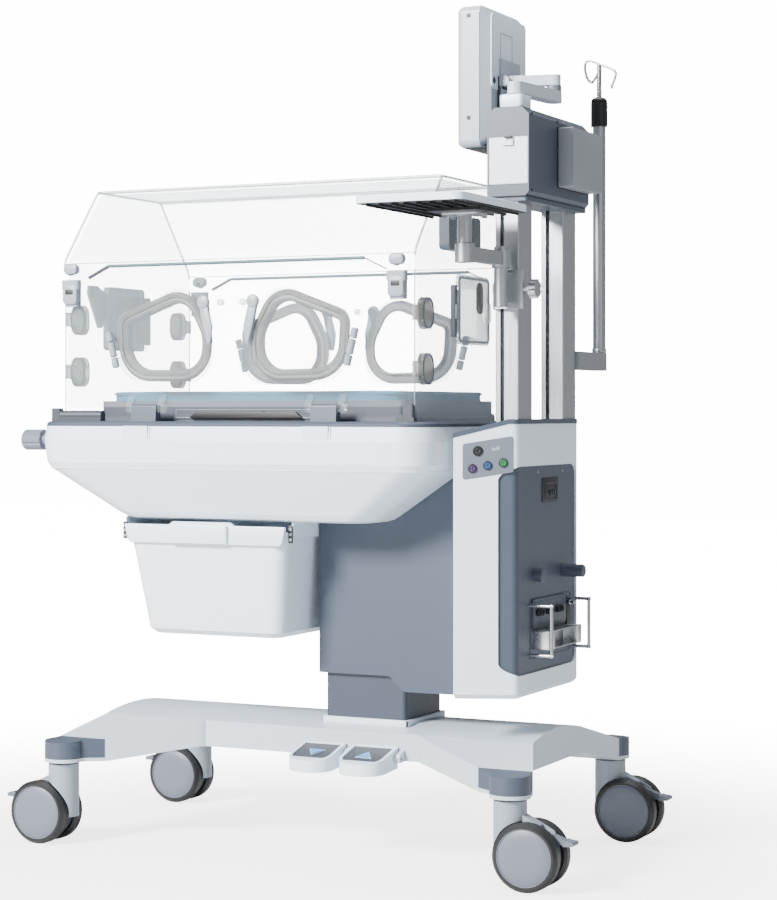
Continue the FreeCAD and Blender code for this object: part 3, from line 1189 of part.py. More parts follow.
def head_unit():
    x0, x1 = HEAD_X
    y0, y1 = HEAD_Y
    side = [(x0, POST_TOP), (x1 - 8.0, POST_TOP), (x1, POST_TOP + 10.0), (x1, HEAD_TOP - 14.0),
            (x1 - 14.0, HEAD_TOP), (x0 + 14.0, HEAD_TOP), (x0, HEAD_TOP - 14.0)]
    body = prism(side, 0, "y", y0, y1)
    lip = slab(x0 + 4.0, x1 - 4.0, y0 + 4.0, y1 - 4.0, POST_TOP - HEAD_LIP, POST_TOP, 6.0)
    posts = [box(POST_X[0], POST_X[1], s * POST_INNER_Y if s > 0 else -POST_OUTER_Y,
                 s * POST_OUTER_Y if s > 0 else -POST_INNER_Y, 1000.0, POST_TOP) for s in (-1, 1)]
    door_room = box(DOOR_X[0], DOOR_X[1], y0 - 1.0, y0 + DOOR_THICK + SEAT_GAP, *DOOR_Z)
    bay = box(x0 + 12.0, x1 - 12.0, y0, y0 + 90.0, DOOR_Z[0] + 14.0, DOOR_Z[1] - 10.0)
    pod = prism([(POD_Y[0], POD_Z[0]), (POD_Y[1], POD_Z[0]), (POD_Y[1], POD_Z[1]), (POD_Y[0], POD_Z[1])],
                12.0, "x", x1 - 1.0, POD_X)
    base = slab(*ARM_BASE_X, *ARM_BASE_Y, HEAD_TOP - 2.0, ARM_BASE_TOP, 6.0)
    pin = cylinder(ARM_PIN_R, LINK_Z[1] - ARM_BASE_TOP - 4.0, (*SHOULDER, ARM_BASE_TOP))
    ears = door_pin_places()
    solid = cut(fuse([body, lip, pod, base, pin]), posts + [door_room, bay])
    return fuse([solid] + ears)


def door_pin_places():
    """Stub pins at the door's lower corners."""
    y = HEAD_Y[0] + DOOR_THICK / 2
    z = DOOR_Z[0] + DOOR_THICK / 2 + 0.5
    x0, x1 = DOOR_X
    return [cylinder(1.5, 6.0, (x0 - 1.0, y, z), "x"), cylinder(1.5, 6.0, (x1 - 5.0, y, z), "x")]


def head_door():
    """Drop-down door of the head unit's bay, hinged at its lower edge."""
    x0, x1 = DOOR_X
    y0 = HEAD_Y[0]
    half = DOOR_THICK / 2
    z_axis = DOOR_Z[0] + half + 0.5
    plate = box(x0 + SLIDE_GAP, x1 - SLIDE_GAP, y0, y0 + DOOR_THICK, z_axis, DOOR_Z[1] - SLIDE_GAP)
    roll = cylinder(half, x1 - x0 - 2 * SLIDE_GAP, (x0 + SLIDE_GAP, y0 + half, z_axis), "x")
    catch = slab((x0 + x1) / 2 - 11.0, (x0 + x1) / 2 + 11.0, y0 - 5.0, y0, DOOR_Z[1] - 16.0, DOOR_Z[1] - 6.0, 2.0)
    bore = cylinder(1.5 + RUN_FIT, x1 - x0, (x0, y0 + half, z_axis), "x")
    return cut(fuse([plate, roll, catch]), [bore])


def flat_link(start, end, radius, low, high):
    """Arm link with round ends."""
    a, b = V(*start, 0), V(*end, 0)
    run = b - a
    run.normalize()
    side = V(-run.y, run.x, 0) * radius
    corners = [a + side, b + side, b - side, a - side]
    web = Part.Face(Part.makePolygon([V(p.x, p.y, low) for p in corners + corners[:1]])).extrude(V(0, 0, high - low))
    return fuse([web, cylinder(radius, high - low, (a.x, a.y, low)), cylinder(radius, high - low, (b.x, b.y, low))])


def arm_lower():
    low, high = LINK_Z
    link = flat_link(SHOULDER, ELBOW, LINK_R, low, high)
    post = cylinder(ARM_PIN_R, UPPER_LINK_Z[1] - high - 4.0, (*ELBOW, high))
    bore = cylinder(ARM_PIN_R + RUN_FIT, high - low - 1.0, (*SHOULDER, low - 1.0))
    return cut(fuse([link, post]), [bore])


def arm_upper():
    low, high = UPPER_LINK_Z
    link = flat_link(ELBOW, WRIST, ELBOW_R, low, high)
    sleeve = cylinder(ELBOW_R, high - LINK_Z[1] - SEAT_GAP, (*ELBOW, LINK_Z[1] + SEAT_GAP))
    bore = cylinder(ARM_PIN_R + RUN_FIT, high - LINK_Z[1] - 3.0, (*ELBOW, LINK_Z[1]))
    y = WRIST[1]
    head = box(WRIST[0] - 4.0, WRIST[0] + 13.0, y - 12.0, y + 12.0, low, high)
    solid = cut(fuse([link, sleeve, head]), [bore])
    trim = box(WRIST[0] - 40.0, WRIST[0] - 4.0, y - 30.0, y + 30.0, low - 5.0, high + 5.0)
    pin = cylinder(4.0, 50.0, (WRIST[0] + 1.0, y - 25.0, WRIST_Z), "y")
    return fuse([cut(solid, [trim]), pin])


def monitor():
    """Screen housing with a sunk display, rear cooling slots and tilt ears at its mount plate."""
    x0, x1 = SCREEN_X
    side = rectangle(*SCREEN_Y, *SCREEN_Z)
    body = prism(side, 14.0, "x", x0 + 8.0, x1 - 18.0)
    back = loft([rounded_wire(side, 14.0, x1 - 18.0, "x"), rounded_wire(inset(side, 16.0), 10.0, x1, "x")])
    bezel = loft([rounded_wire(inset(side, 5.0), 10.0, x0, "x"), rounded_wire(side, 14.0, x0 + 8.0, "x")])
    glass = prism(inset(side, 16.0), 3.0, "x", x0 - 1.0, x0 + 2.5)
    slots = [box(x1 - 4.0, x1 + 1.0, SCREEN_Y[0] + 30.0 + 12.0 * i, SCREEN_Y[0] + 36.0 + 12.0 * i,
                 SCREEN_Z[0] + 190.0, SCREEN_Z[0] + 235.0) for i in range(12)]
    y = WRIST[1]
    plate = box(x1 - 1.0, x1 + 5.0, -15.0, 85.0, WRIST_Z - 31.0, WRIST_Z + 44.0)
    room = box(x1 - 0.5, x1 + 40.0, y - 14.0, y + 16.0, WRIST_Z - 14.0, WRIST_Z + 14.0)
    ears = []
    for start in (y - 25.0, y + 17.0):
        ears.append(box(x1, WRIST[0] + 1.0, start, start + 8.0, WRIST_Z - 10.0, WRIST_Z + 10.0))
        ears.append(cylinder(10.0, 8.0, (WRIST[0] + 1.0, start, WRIST_Z), "y"))
    bore = cylinder(4.0 + RUN_FIT, 60.0, (WRIST[0] + 1.0, y - 30.0, WRIST_Z), "y")
    return cut(fuse([cut(fuse([body, back, bezel]), [glass] + slots), plate] + ears), [room, bore])


# Shelf, shelf arm, pole

def shelf():
    """Instrument shelf with a raised rim, ribbed underside and its turning post."""
    x0, x1 = SHELF_X
    y0, y1 = SHELF_Y
    low = SHELF_TOP - SHELF_RIM
    body = slab(x0, x1, y0, y1, low, SHELF_TOP, SHELF_CORNER_R)
    well = slab(x0 + 6.0, x1 - 6.0, y0 + 6.0, y1 - 6.0, low + 4.0, SHELF_TOP, SHELF_CORNER_R - 6.0)
    ribs = [box(x0 + 20.0 + 24.0 * i, x0 + 23.0 + 24.0 * i, y0 + 14.0, y1 - 14.0, low - 5.0, low) for i in range(8)]
    x, y = SHELF_TUBE
    plate = slab(x - 50.0, x + 50.0, y - 55.0, y + 55.0, low - 9.0, low, 8.0)
    tube = cylinder(SHELF_TUBE_R, low - 8.0 - SHELF_ARM_Z[1] - SEAT_GAP, (x, y, SHELF_ARM_Z[1] + SEAT_GAP))
    pin = cylinder(7.0, SHELF_ARM_Z[1] - SHELF_ARM_Z[0] - 4.0 + SEAT_GAP, (x, y, SHELF_ARM_Z[0] + 4.0))
    return fuse([cut(body, [well]), plate, tube, pin] + ribs)


def shelf_arm():
    z0, z1 = SHELF_ARM_Z
    x, y = SHELF_TUBE
    front = cylinder(17.5, z1 - z0, (x, y, z0))
    rear = cylinder(MOUNT_R + 4.0, z1 - z0, (x, SHELF_ARM_PIVOT_Y, z0))
    bar = box(x - 10.0, x + 10.0, y, SHELF_ARM_PIVOT_Y, z0 + 4.0, z1 - 4.0)
    bore = cylinder(7.0 + RUN_FIT, z1 - z0, (x, y, z0 + 3.0))
    hub = cylinder(MOUNT_R - 3.0 + RUN_FIT, z1 - z0, (x, SHELF_ARM_PIVOT_Y, z0))
    return cut(fuse([front, rear, bar]), [bore, hub])


def shelf_mount():
    """Clamp on the front post: plate, vertical spindle and star knob."""
    x = SHELF_TUBE[0]
    y = SHELF_ARM_PIVOT_Y
    face = -POST_OUTER_Y
    z0 = SHELF_ARM_Z[0] - SEAT_GAP
    plate = slab(POST_X[0] + 1.0, POST_X[1] + 14.0, face - 12.0, face, 1050.0, 1122.0, 3.0)
    neck = box(x - 12.0, x + 12.0, y, face - 6.0, 1060.0, 1116.0)
    column = cylinder(MOUNT_R, z0 - 1052.0, (x, y, 1052.0))
    spindle = cylinder(MOUNT_R - 3.0, SHELF_ARM_Z[1] - z0 + 1.0, (x, y, z0))
    cap = cylinder(MOUNT_R, 5.0, (x, y, SHELF_ARM_Z[1] + 1.0))
    knob_x = POST_X[1] + 14.0
    shank = cylinder(5.0, 24.0, (knob_x - 2.0, face - 6.0, 1086.0), "x")
    grip = cylinder(18.0, 14.0, (knob_x + 12.0, face - 6.0, 1086.0), "x")
    notches = []
    for i in range(6):
        angle = math.radians(60.0 * i)
        notches.append(cylinder(5.0, 16.0, (knob_x + 11.0, face - 6.0 + 20.0 * math.cos(angle),
                                            1086.0 + 20.0 * math.sin(angle)), "x"))
    return fuse([plate, neck, column, spindle, cap, shank, cut(grip, notches)])


def iv_pole():
    """Tube, its bracket on the rear post, and the collar that guides the hook rod."""
    x, y = POLE
    z0, z1 = BRACKET_Z
    bar = fuse([box(x - BRACKET_R, x + BRACKET_R, POST_OUTER_Y, y, z0, z1),
                cylinder(BRACKET_R, z1 - z0, (x, y, z0))])
    bar = bar.common(box(POST_X[0], x + 40.0, POST_OUTER_Y, y + 40.0, z0, z1))
    tube = cylinder(POLE_R, POLE_TOP - POLE_BOTTOM, (x, y, POLE_BOTTOM))
    collar = cylinder(COLLAR_R, COLLAR_TOP - POLE_TOP, (x, y, POLE_TOP))
    edge = [e for e in collar.Edges if e.BoundBox.ZMin > COLLAR_TOP - 1.0]
    collar = collar.makeChamfer(3.0, edge)
    hollow = cylinder(POLE_R - POLE_WALL, POLE_TOP - POLE_BOTTOM - 20.0, (x, y, POLE_BOTTOM + 10.0))
    guide = cylinder(ROD_R + RUN_FIT, 80.0, (x, y, POLE_TOP - 20.0))
    return cut(fuse([bar, tube, collar]), [hollow, guide])


def hook(points, radius):
    """Bent rod through a few hand-set points, with ball joints at the bends."""
    parts = []
    for a, b in zip(points[:-1], points[1:]):
        parts.append(rod_between(a, b, radius))
        parts.append(Part.makeSphere(radius, V(*b)))
    return parts


def iv_rod():
    x, y = POLE
    low = COLLAR_TOP - ROD_TRAVEL - 90.0
    rod = cylinder(ROD_R, 1550.0 - low, (x, y, low))
    left = [(x, y, 1546.0), (x - 22.0, y, 1532.0), (x - 33.0, y, 1540.0), (x - 34.0, y, 1557.0),
            (x - 26.0, y, 1572.0)]
    right = [(x, y, 1546.0), (x + 22.0, y, 1532.0), (x + 31.0, y, 1540.0), (x + 33.0, y, 1557.0),
             (x + 26.0, y, 1572.0)]
    return fuse([rod] + hook(left, 3.0) + hook(right, 3.0))


# Assembly

def build():
    envelope = base_envelope()
    outer = tub_outer()
    nodes = {
        "base_frame": base_frame(envelope),
        "arm_caps": arm_caps(envelope),
        "inner_column": inner_column(),
        "lift_actuator": lift_actuator(),
        "foot_pedal_down": foot_pedal(PEDAL_LEFT_X, False),
        "foot_pedal_up": foot_pedal(PEDAL_RIGHT_X, True),
        "lift_rod": lift_rod(),
        "column_cover": column_cover(outer),
        "side_housing": side_housing(),
        "side_panel": side_panel(),
        "service_metalwork": service_metalwork(),
        "tub": tub(outer),
        "deck": deck(),
        "air_unit": air_unit(),
        "drawer": drawer(),
        "tilt_knob": tilt_knob(),
        "mattress_tray": mattress_tray(),
        "xray_tray": xray_tray(),
        "mattress": mattress(),
        "hood": fuse([hood()] + hatch_pins()),
        "hood_clamps": hood_fittings(),
        "grommets": grommets(),
        "sensor_box": sensor_box(),
        "hatch_left": hatch_left(),
        "hatch_right": hatch_right(),
        "mast_posts": mast_posts(),
        "head_unit": head_unit(),
        "head_door": head_door(),
        "arm_lower": arm_lower(),
        "arm_upper": arm_upper(),
        "monitor": monitor(),
        "shelf": shelf(),
        "shelf_arm": shelf_arm(),
        "shelf_mount": shelf_mount(),
        "iv_pole": iv_pole(),
        "iv_rod": iv_rod(),
    }
    corners = {"fl": lambda s: s, "rl": mirror_y, "fr": mirror_x, "rr": lambda s: mirror_x(mirror_y(s))}
    for name, make in (("caster_fork", caster_fork), ("caster_wheels", caster_wheels),
                       ("brake_pedal", brake_pedal)):
        master = make()
        for corner, turn in corners.items():
            nodes[name + "_" + corner] = turn(master)
    panel, latches = access_panel(), panel_latches()
    nodes["front_panel"], nodes["back_panel"] = panel, mirror_y(panel)
    nodes["front_latches"], nodes["back_latches"] = latches, mirror_y(latches)
    door, latch = port_door(), port_latch()
    sides = {"fl": lambda s: s, "bl": mirror_y, "fr": lambda s: mirror_x(s, PORT_MIRROR_X),
             "br": lambda s: mirror_x(mirror_y(s), PORT_MIRROR_X)}
    for corner, turn in sides.items():
        nodes["port_door_" + corner] = turn(door)
        nodes["port_latch_" + corner] = turn(latch)
    return nodes


def main():
    os.makedirs("parts", exist_ok=True)
    origin_y = (SHELF_Y[0] + POLE[1] + COLLAR_R) / 2
    for name, shape in build().items():
        shape.translate(V(0, -origin_y, 0))
        shape.exportStep("parts/" + name + ".step")


main()
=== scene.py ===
import math

import bmesh
import bpy
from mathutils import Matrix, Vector


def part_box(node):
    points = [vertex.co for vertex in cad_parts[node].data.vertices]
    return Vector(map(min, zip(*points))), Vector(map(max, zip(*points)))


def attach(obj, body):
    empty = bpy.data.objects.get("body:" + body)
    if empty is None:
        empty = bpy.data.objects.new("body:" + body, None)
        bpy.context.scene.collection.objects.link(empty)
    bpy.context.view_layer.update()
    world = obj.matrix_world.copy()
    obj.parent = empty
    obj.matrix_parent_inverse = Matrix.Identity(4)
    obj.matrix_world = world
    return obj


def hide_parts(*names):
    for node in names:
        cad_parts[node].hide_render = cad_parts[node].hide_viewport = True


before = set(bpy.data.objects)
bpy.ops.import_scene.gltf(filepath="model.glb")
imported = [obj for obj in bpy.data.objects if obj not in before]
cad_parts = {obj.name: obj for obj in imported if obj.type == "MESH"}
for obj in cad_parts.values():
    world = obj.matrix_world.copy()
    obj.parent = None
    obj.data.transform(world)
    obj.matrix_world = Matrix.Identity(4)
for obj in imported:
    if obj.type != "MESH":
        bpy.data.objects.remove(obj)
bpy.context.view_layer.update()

# Places are in millimetres from the middle of the casters, which lies ORIGIN_Y behind the frame's origin.
MM = 0.001
ORIGIN_Y = 99.5

# Colours, linear
SHELL = (0.72, 0.81, 0.90)
BLUE_GREY = (0.046, 0.062, 0.092)
SLATE = (0.034, 0.046, 0.070)
TRAY_GREY = (0.072, 0.082, 0.106)
PALE_GREY = (0.125, 0.142, 0.180)
BASE_WHITE = (0.50, 0.56, 0.63)
COVER_GREY = (0.36, 0.42, 0.48)
GROMMET = (0.27, 0.27, 0.262)
GASKET = (0.120, 0.119, 0.115)
# Painted highlight: tint of the beads that stand in for light caught along the hood's edges and folds
HOOD_EDGE_HIGHLIGHT = (0.26, 0.31, 0.35)
MID_GREY = (0.032, 0.039, 0.052)
DARK = (0.004, 0.0045, 0.006)
TYRE = (0.0045, 0.005, 0.006)
DISC = (0.125, 0.140, 0.178)
STEEL = (0.42, 0.44, 0.47)
ALUMINIUM = (0.46, 0.48, 0.51)
MATTRESS = (0.002, 0.155, 0.270)
SEAL = (0.045, 0.105, 0.125)
ARROW = (0.10, 0.30, 0.66)
FLOOR = (0.62, 0.625, 0.63)
LIGHT_GREY = (0.26, 0.30, 0.35)
POD_GREY = (0.23, 0.255, 0.285)

# Studio strengths
BACKDROP = 16.0
SURROUND = 0.46
FLOOR_GLOW = 16.0
NEAR_GLOW = 3.2

KEY_POWER = 1080.0
FILL_POWER = 10.0
TOP_POWER = 210.0

# Edges sharper than this stay crisp
SHARP_ANGLE = math.radians(32)

# Camera fitted to the photograph: pixels, then its place and turn
PHOTO_HEIGHT = 900.0
FOCAL_LENGTH = 2306.3
SHIFT = (388.5 - 280.0, 411.16 - 450.0)
SENSOR = 36.0
CAMERA_PLACE = (2012.35, -4162.65, 859.79)
CAMERA_TURN = 27.254

# Upper edge of the access panels, their latches, and the grommets of the end walls
ACCESS_TOP = [(-485.0, 1124.0), (-429.0, 1124.0), (-383.0, 1146.0), (176.0, 1146.0), (222.0, 1124.0),
              (278.0, 1124.0)]
LATCH_X = (-465.0, 247.0)
GROMMET_Y = 199.0
GROMMET_Z = (939.0, 1043.5)

# Front left hand port seen from the front; its gasket's section as inset and distance out
PORT_CORNERS = [(-359.0, 1047.0, 26.0), (-196.0, 1108.0, 46.0), (-146.0, 1012.0, 60.0),
                (-148.0, 915.0, 52.0), (-352.0, 918.0, 56.0)]
PORT_MIRROR_X = -104.0
GASKET_SECTION = [(1.5, 256.0), (1.0, 259.6), (3.0, 262.8), (7.0, 264.9), (11.0, 264.0), (13.0, 261.4),
                  (17.5, 262.4), (21.0, 260.5), (23.5, 256.0), (24.0, 250.0), (23.5, 244.0), (20.5, 243.4),
                  (19.0, 249.0), (17.0, 254.0), (12.0, 255.0), (6.0, 254.2)]
LATCH_AXIS = (-158.0, 1070.0)
BUMPER = (-128.0, 1070.0)
PORT_LEVER = [(-168.0, 1068.0, 6.0), (-150.0, 1070.0, 8.0), (-138.0, 1024.0, 20.0), (-142.0, 990.0, 4.0),
              (-149.0, 992.0, 3.0), (-158.0, 1024.0, 20.0)]
HINGE_OUT = 270.0
HINGE_MIDDLE = (-364.5, 980.5)
HINGE_RUN = (-23.0, 91.0)

# Underside of the pole's collar, and the bent wire of its hook in its own plane
COLLAR_LOW = 1439.8
IV_WIRE = [(437.0, 1562.0), (431.0, 1545.0), (421.0, 1532.0), (412.0, 1538.0), (407.0, 1552.0),
           (405.5, 1566.0), (409.0, 1575.0), (418.0, 1575.5), (438.0, 1567.0), (462.0, 1557.0),
           (471.0, 1549.0), (470.0, 1538.0), (465.0, 1526.0), (462.0, 1516.0)]

# Foot pedals: fall of the top towards the nose, depth of the sunk field, reach of the arrows
PEDAL_FALL = 24.0
PEDAL_SINK = 2.4
ARROWS = (("down", -15.0), ("up", 15.0))

# Side housing, wheels, shelf and mattress
HOUSING_DEPTH = 48.0
SERVICE_SINK = 3.0
TYRE_INNER = 52.0
SHELF_POST = (428.0, -371.0)
SHELF_UNDERSIDE = 1221.4
MATTRESS_CORNER = 30.0

SIDE_NAME = {-1: "front", 1: "back"}
PORTS = ("fl", "fr", "bl", "br")
CASTERS = ("fl", "fr", "rl", "rr")


def at(x, y, z):
    """Point in metres in the shared frame."""
    return Vector((x * MM, (y + ORIGIN_Y) * MM, z * MM))


def room(node):
    """Box of a node in the script's millimetres: x0, x1, y0, y1, z0, z1."""
    origin = (0.0, ORIGIN_Y, 0.0)
    return [round(corner[axis] / MM - origin[axis], 3) for axis in range(3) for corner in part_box(node)]


# Places that the frame gives
HOOD_FACE = room("hood")[3]
HOOD_TOP = room("hood")[5]
HOOD_LEFT = room("front_panel")[0] - 1.0
HOOD_RIGHT = room("front_panel")[1] + 1.0
HOOD_SHAPE = ((HOOD_FACE, 841.0, 0), (HOOD_FACE, 1160.0, 30.0), (127.0, HOOD_TOP, 25.0))
HOOD_PROFILE = [(-y, z, radius) for y, z, radius in HOOD_SHAPE] + list(reversed(HOOD_SHAPE))
HOUSING_LEFT, HOUSING_RIGHT, HOUSING_FRONT = room("side_housing")[:3]


# Materials

def new_material(name):
    """Named material with its node tree and shader."""
    made = bpy.data.materials.new(name)
    made.use_nodes = True
    tree = made.node_tree
    shader = tree.nodes["Principled BSDF"]
    return made, tree, shader


def add_surface(tree, shader, color, shade, roughness, grain, bump):
    """Slight colour drift, roughness drift and a fine moulded bump."""
    nodes, links = tree.nodes, tree.links
    place = nodes.new("ShaderNodeTexCoord")
    broad = nodes.new("ShaderNodeTexNoise")
    broad.inputs["Scale"].default_value = 3.0
    broad.inputs["Detail"].default_value = 3.0
    links.new(place.outputs["Object"], broad.inputs["Vector"])
    mix = nodes.new("ShaderNodeMixRGB")
    mix.inputs["Color1"].default_value = (*color, 1)
    mix.inputs["Color2"].default_value = (*shade, 1)
    links.new(broad.outputs["Fac"], mix.inputs["Fac"])
    links.new(mix.outputs["Color"], shader.inputs["Base Color"])
    fine = nodes.new("ShaderNodeTexNoise")
    fine.inputs["Scale"].default_value = grain
    fine.inputs["Detail"].default_value = 2.0
    links.new(place.outputs["Object"], fine.inputs["Vector"])
    rough = nodes.new("ShaderNodeMapRange")
    rough.inputs["To Min"].default_value = roughness - 0.05
    rough.inputs["To Max"].default_value = roughness + 0.06
    links.new(fine.outputs["Fac"], rough.inputs["Value"])
    links.new(rough.outputs["Result"], shader.inputs["Roughness"])
    relief = nodes.new("ShaderNodeBump")
    relief.inputs["Strength"].default_value = bump
    relief.inputs["Distance"].default_value = 0.0004
    links.new(fine.outputs["Fac"], relief.inputs["Height"])
    links.new(relief.outputs["Normal"], shader.inputs["Normal"])
    return mix


def plastic(name, color, roughness=0.38, grain=900.0, bump=0.05, drift=0.93, coat=0.0):
    """Moulded plastic or rubber."""
    made, tree, shader = new_material(name)
    shade = tuple(c * drift for c in color)
    add_surface(tree, shader, color, shade, roughness, grain, bump)
    shader.inputs["Coat Weight"].default_value = coat
    shader.inputs["Coat Roughness"].default_value = 0.2
    return made


def metal(name, color, roughness, stretch=(1.0, 1.0, 30.0)):
    """Brushed metal: noise drawn out along one direction."""
    made, tree, shader = new_material(name)
    nodes, links = tree.nodes, tree.links
    place = nodes.new("ShaderNodeTexCoord")
    scale = nodes.new("ShaderNodeMapping")
    scale.inputs["Scale"].default_value = [400.0 / s for s in stretch]
    links.new(place.outputs["Object"], scale.inputs["Vector"])
    noise = nodes.new("ShaderNodeTexNoise")
    noise.inputs["Scale"].default_value = 1.0
    noise.inputs["Detail"].default_value = 4.0
    links.new(scale.outputs["Vector"], noise.inputs["Vector"])
    rough = nodes.new("ShaderNodeMapRange")
    rough.inputs["To Min"].default_value = roughness - 0.08
    rough.inputs["To Max"].default_value = roughness + 0.10
    links.new(noise.outputs["Fac"], rough.inputs["Value"])
    links.new(rough.outputs["Result"], shader.inputs["Roughness"])
    shader.inputs["Base Color"].default_value = (*color, 1)
    shader.inputs["Metallic"].default_value = 1.0
    return made


def clear(name, tint, alpha, roughness=0.04):
    """Clear acrylic: see-through head on, brighter where it is seen at a glance."""
    made, tree, shader = new_material(name)
    nodes, links = tree.nodes, tree.links
    shader.inputs["Base Color"].default_value = (*tint, 1)
    shader.inputs["Roughness"].default_value = roughness
    shader.inputs["IOR"].default_value = 1.49
    edge = nodes.new("ShaderNodeLayerWeight")
    edge.inputs["Blend"].default_value = 0.35
    spread = nodes.new("ShaderNodeMapRange")
    spread.inputs["To Min"].default_value = alpha
    spread.inputs["To Max"].default_value = min(1.0, alpha + 0.5)
    links.new(edge.outputs["Facing"], spread.inputs["Value"])
    links.new(spread.outputs["Result"], shader.inputs["Alpha"])
    return made


def fabric(name, color):
    """Wipe-clean coated cloth with a faint weave."""
    made, tree, shader = new_material(name)
    mix = add_surface(tree, shader, color, tuple(c * 0.86 for c in color), 0.5, 260.0, 0.25)
    mix.inputs["Fac"].default_value = 0.5
    shader.inputs["Sheen Weight"].default_value = 0.04
    return made


def wheel_material(name, centre, tyre, disc, edge):
    """Dark tread outside the given radius about a wheel's centre, grey disc inside."""
    made, tree, shader = new_material(name)
    mix = add_surface(tree, shader, disc, tyre, 0.45, 700.0, 0.08)
    nodes, links = tree.nodes, tree.links
    place = nodes.new("ShaderNodeTexCoord")
    offset = nodes.new("ShaderNodeVectorMath")
    offset.operation = "SUBTRACT"
    offset.inputs[1].default_value = centre
    flat = nodes.new("ShaderNodeVectorMath")
    flat.operation = "MULTIPLY"
    flat.inputs[1].default_value = (1.0, 0.0, 1.0)
    length = nodes.new("ShaderNodeVectorMath")
    length.operation = "LENGTH"
    step = nodes.new("ShaderNodeMath")
    step.operation = "GREATER_THAN"
    step.inputs[1].default_value = edge
    links.new(place.outputs["Object"], offset.inputs[0])
    links.new(offset.outputs["Vector"], flat.inputs[0])
    links.new(flat.outputs["Vector"], length.inputs[0])
    links.new(length.outputs["Value"], step.inputs[0])
    links.new(step.outputs["Value"], mix.inputs["Fac"])
    return made


def height_step(tree, level, side):
    """One on the chosen side of a height of the piece, nought on the other."""
    place = tree.nodes.new("ShaderNodeTexCoord")
    spot = tree.nodes.new("ShaderNodeSeparateXYZ")
    tree.links.new(place.outputs["Object"], spot.inputs["Vector"])
    step = tree.nodes.new("ShaderNodeMath")
    step.operation = side
    step.inputs[1].default_value = level
    tree.links.new(spot.outputs["Z"], step.inputs[0])
    return step.outputs["Value"]


def pole_material(name, level):
    """Brushed tube with a black moulded collar above a level."""
    made = metal(name, STEEL, 0.30)
    tree = made.node_tree
    shader = tree.nodes["Principled BSDF"]
    black = height_step(tree, level, "GREATER_THAN")
    mix = tree.nodes.new("ShaderNodeMix")
    mix.data_type = "RGBA"
    mix.inputs["A"].default_value = (*STEEL, 1)
    mix.inputs["B"].default_value = (*DARK, 1)
    tree.links.new(black, mix.inputs["Factor"])
    tree.links.new(mix.outputs["Result"], shader.inputs["Base Color"])
    bare = tree.nodes.new("ShaderNodeMath")
    bare.operation = "SUBTRACT"
    bare.inputs[0].default_value = 1.0
    tree.links.new(black, bare.inputs[1])
    tree.links.new(bare.outputs["Value"], shader.inputs["Metallic"])
    return made


def shelf_material(name, low_color, high_color, level):
    """Black below a level and on downward faces, pale elsewhere."""
    made, tree, shader = new_material(name)
    mix = add_surface(tree, shader, high_color, low_color, 0.42, 900.0, 0.05)
    nodes, links = tree.nodes, tree.links
    geometry = nodes.new("ShaderNodeNewGeometry")
    below = height_step(tree, level, "LESS_THAN")
    turn = nodes.new("ShaderNodeSeparateXYZ")
    links.new(geometry.outputs["True Normal"], turn.inputs["Vector"])
    facing = nodes.new("ShaderNodeMath")
    facing.operation = "LESS_THAN"
    facing.inputs[1].default_value = -0.5
    links.new(turn.outputs["Z"], facing.inputs[0])
    either = nodes.new("ShaderNodeMath")
    either.operation = "MAXIMUM"
    links.new(below, either.inputs[0])
    links.new(facing.outputs["Value"], either.inputs[1])
    links.new(either.outputs["Value"], mix.inputs["Fac"])
    return made


M = {
    "shell": plastic("shell white", SHELL, 0.36, drift=0.96, coat=0.15),
    "base": plastic("base white", BASE_WHITE, 0.38, drift=0.95, coat=0.1),
    "cover": plastic("monitor cover", COVER_GREY, 0.40, drift=0.95, coat=0.1),
    "blue": plastic("blue grey moulding", BLUE_GREY, 0.42),
    "pale": plastic("pale grey moulding", PALE_GREY, 0.42),
    "light": plastic("light grey moulding", LIGHT_GREY, 0.4),
    "pod": plastic("pod grey moulding", POD_GREY, 0.45),
    "slate": plastic("slate moulding", SLATE, 0.42),
    "tray": plastic("tray grey moulding", TRAY_GREY, 0.45),
    "mid": plastic("mid grey moulding", MID_GREY, 0.45),
    "dark": plastic("black moulding", DARK, 0.5, bump=0.15),
    "soft": plastic("soft grey rubber", PALE_GREY, 0.6, bump=0.12),
    "glass": clear("clear acrylic", (0.55, 0.62, 0.68), 0.035),
    "door": clear("clear port door", (0.50, 0.56, 0.62), 0.06),
    "gasket": clear("milky gasket", GASKET, 0.84, 0.5),
    "grommet": clear("milky grommet", GROMMET, 0.78, 0.5),
    # painted highlight: light caught along the hood's edges and folds, drawn as grey-blue beads
    "edge": clear("painted highlight hood edge", HOOD_EDGE_HIGHLIGHT, 0.5, 0.15),
    "milky": clear("milky hatch", (0.42, 0.45, 0.48), 0.38, 0.2),
    "seal": plastic("dark seal", SEAL, 0.5),
    "steel": metal("brushed steel", STEEL, 0.30),
    "aluminium": metal("anodised aluminium", ALUMINIUM, 0.36, (1.0, 1.0, 60.0)),
    "disc": plastic("wheel cover", DISC, 0.42, 700.0, 0.04),
    "bright": metal("milled block", (0.84, 0.85, 0.86), 0.28, (1.0, 30.0, 1.0)),
    "mattress": fabric("mattress cover", MATTRESS),
    "arrow": plastic("arrow blue", ARROW, 0.4),
    "pole": pole_material("pole and collar", COLLAR_LOW * MM),
    "shelf": shelf_material("shelf", DARK, SHELL, SHELF_UNDERSIDE * MM),
    "screen": plastic("screen black", (0.008, 0.009, 0.012), 0.12, bump=0.0),
    "purple": plastic("socket purple", (0.045, 0.020, 0.080), 0.4),
    "azure": plastic("socket blue", (0.012, 0.055, 0.17), 0.4),
    "green": plastic("socket green", (0.006, 0.14, 0.042), 0.4),
}

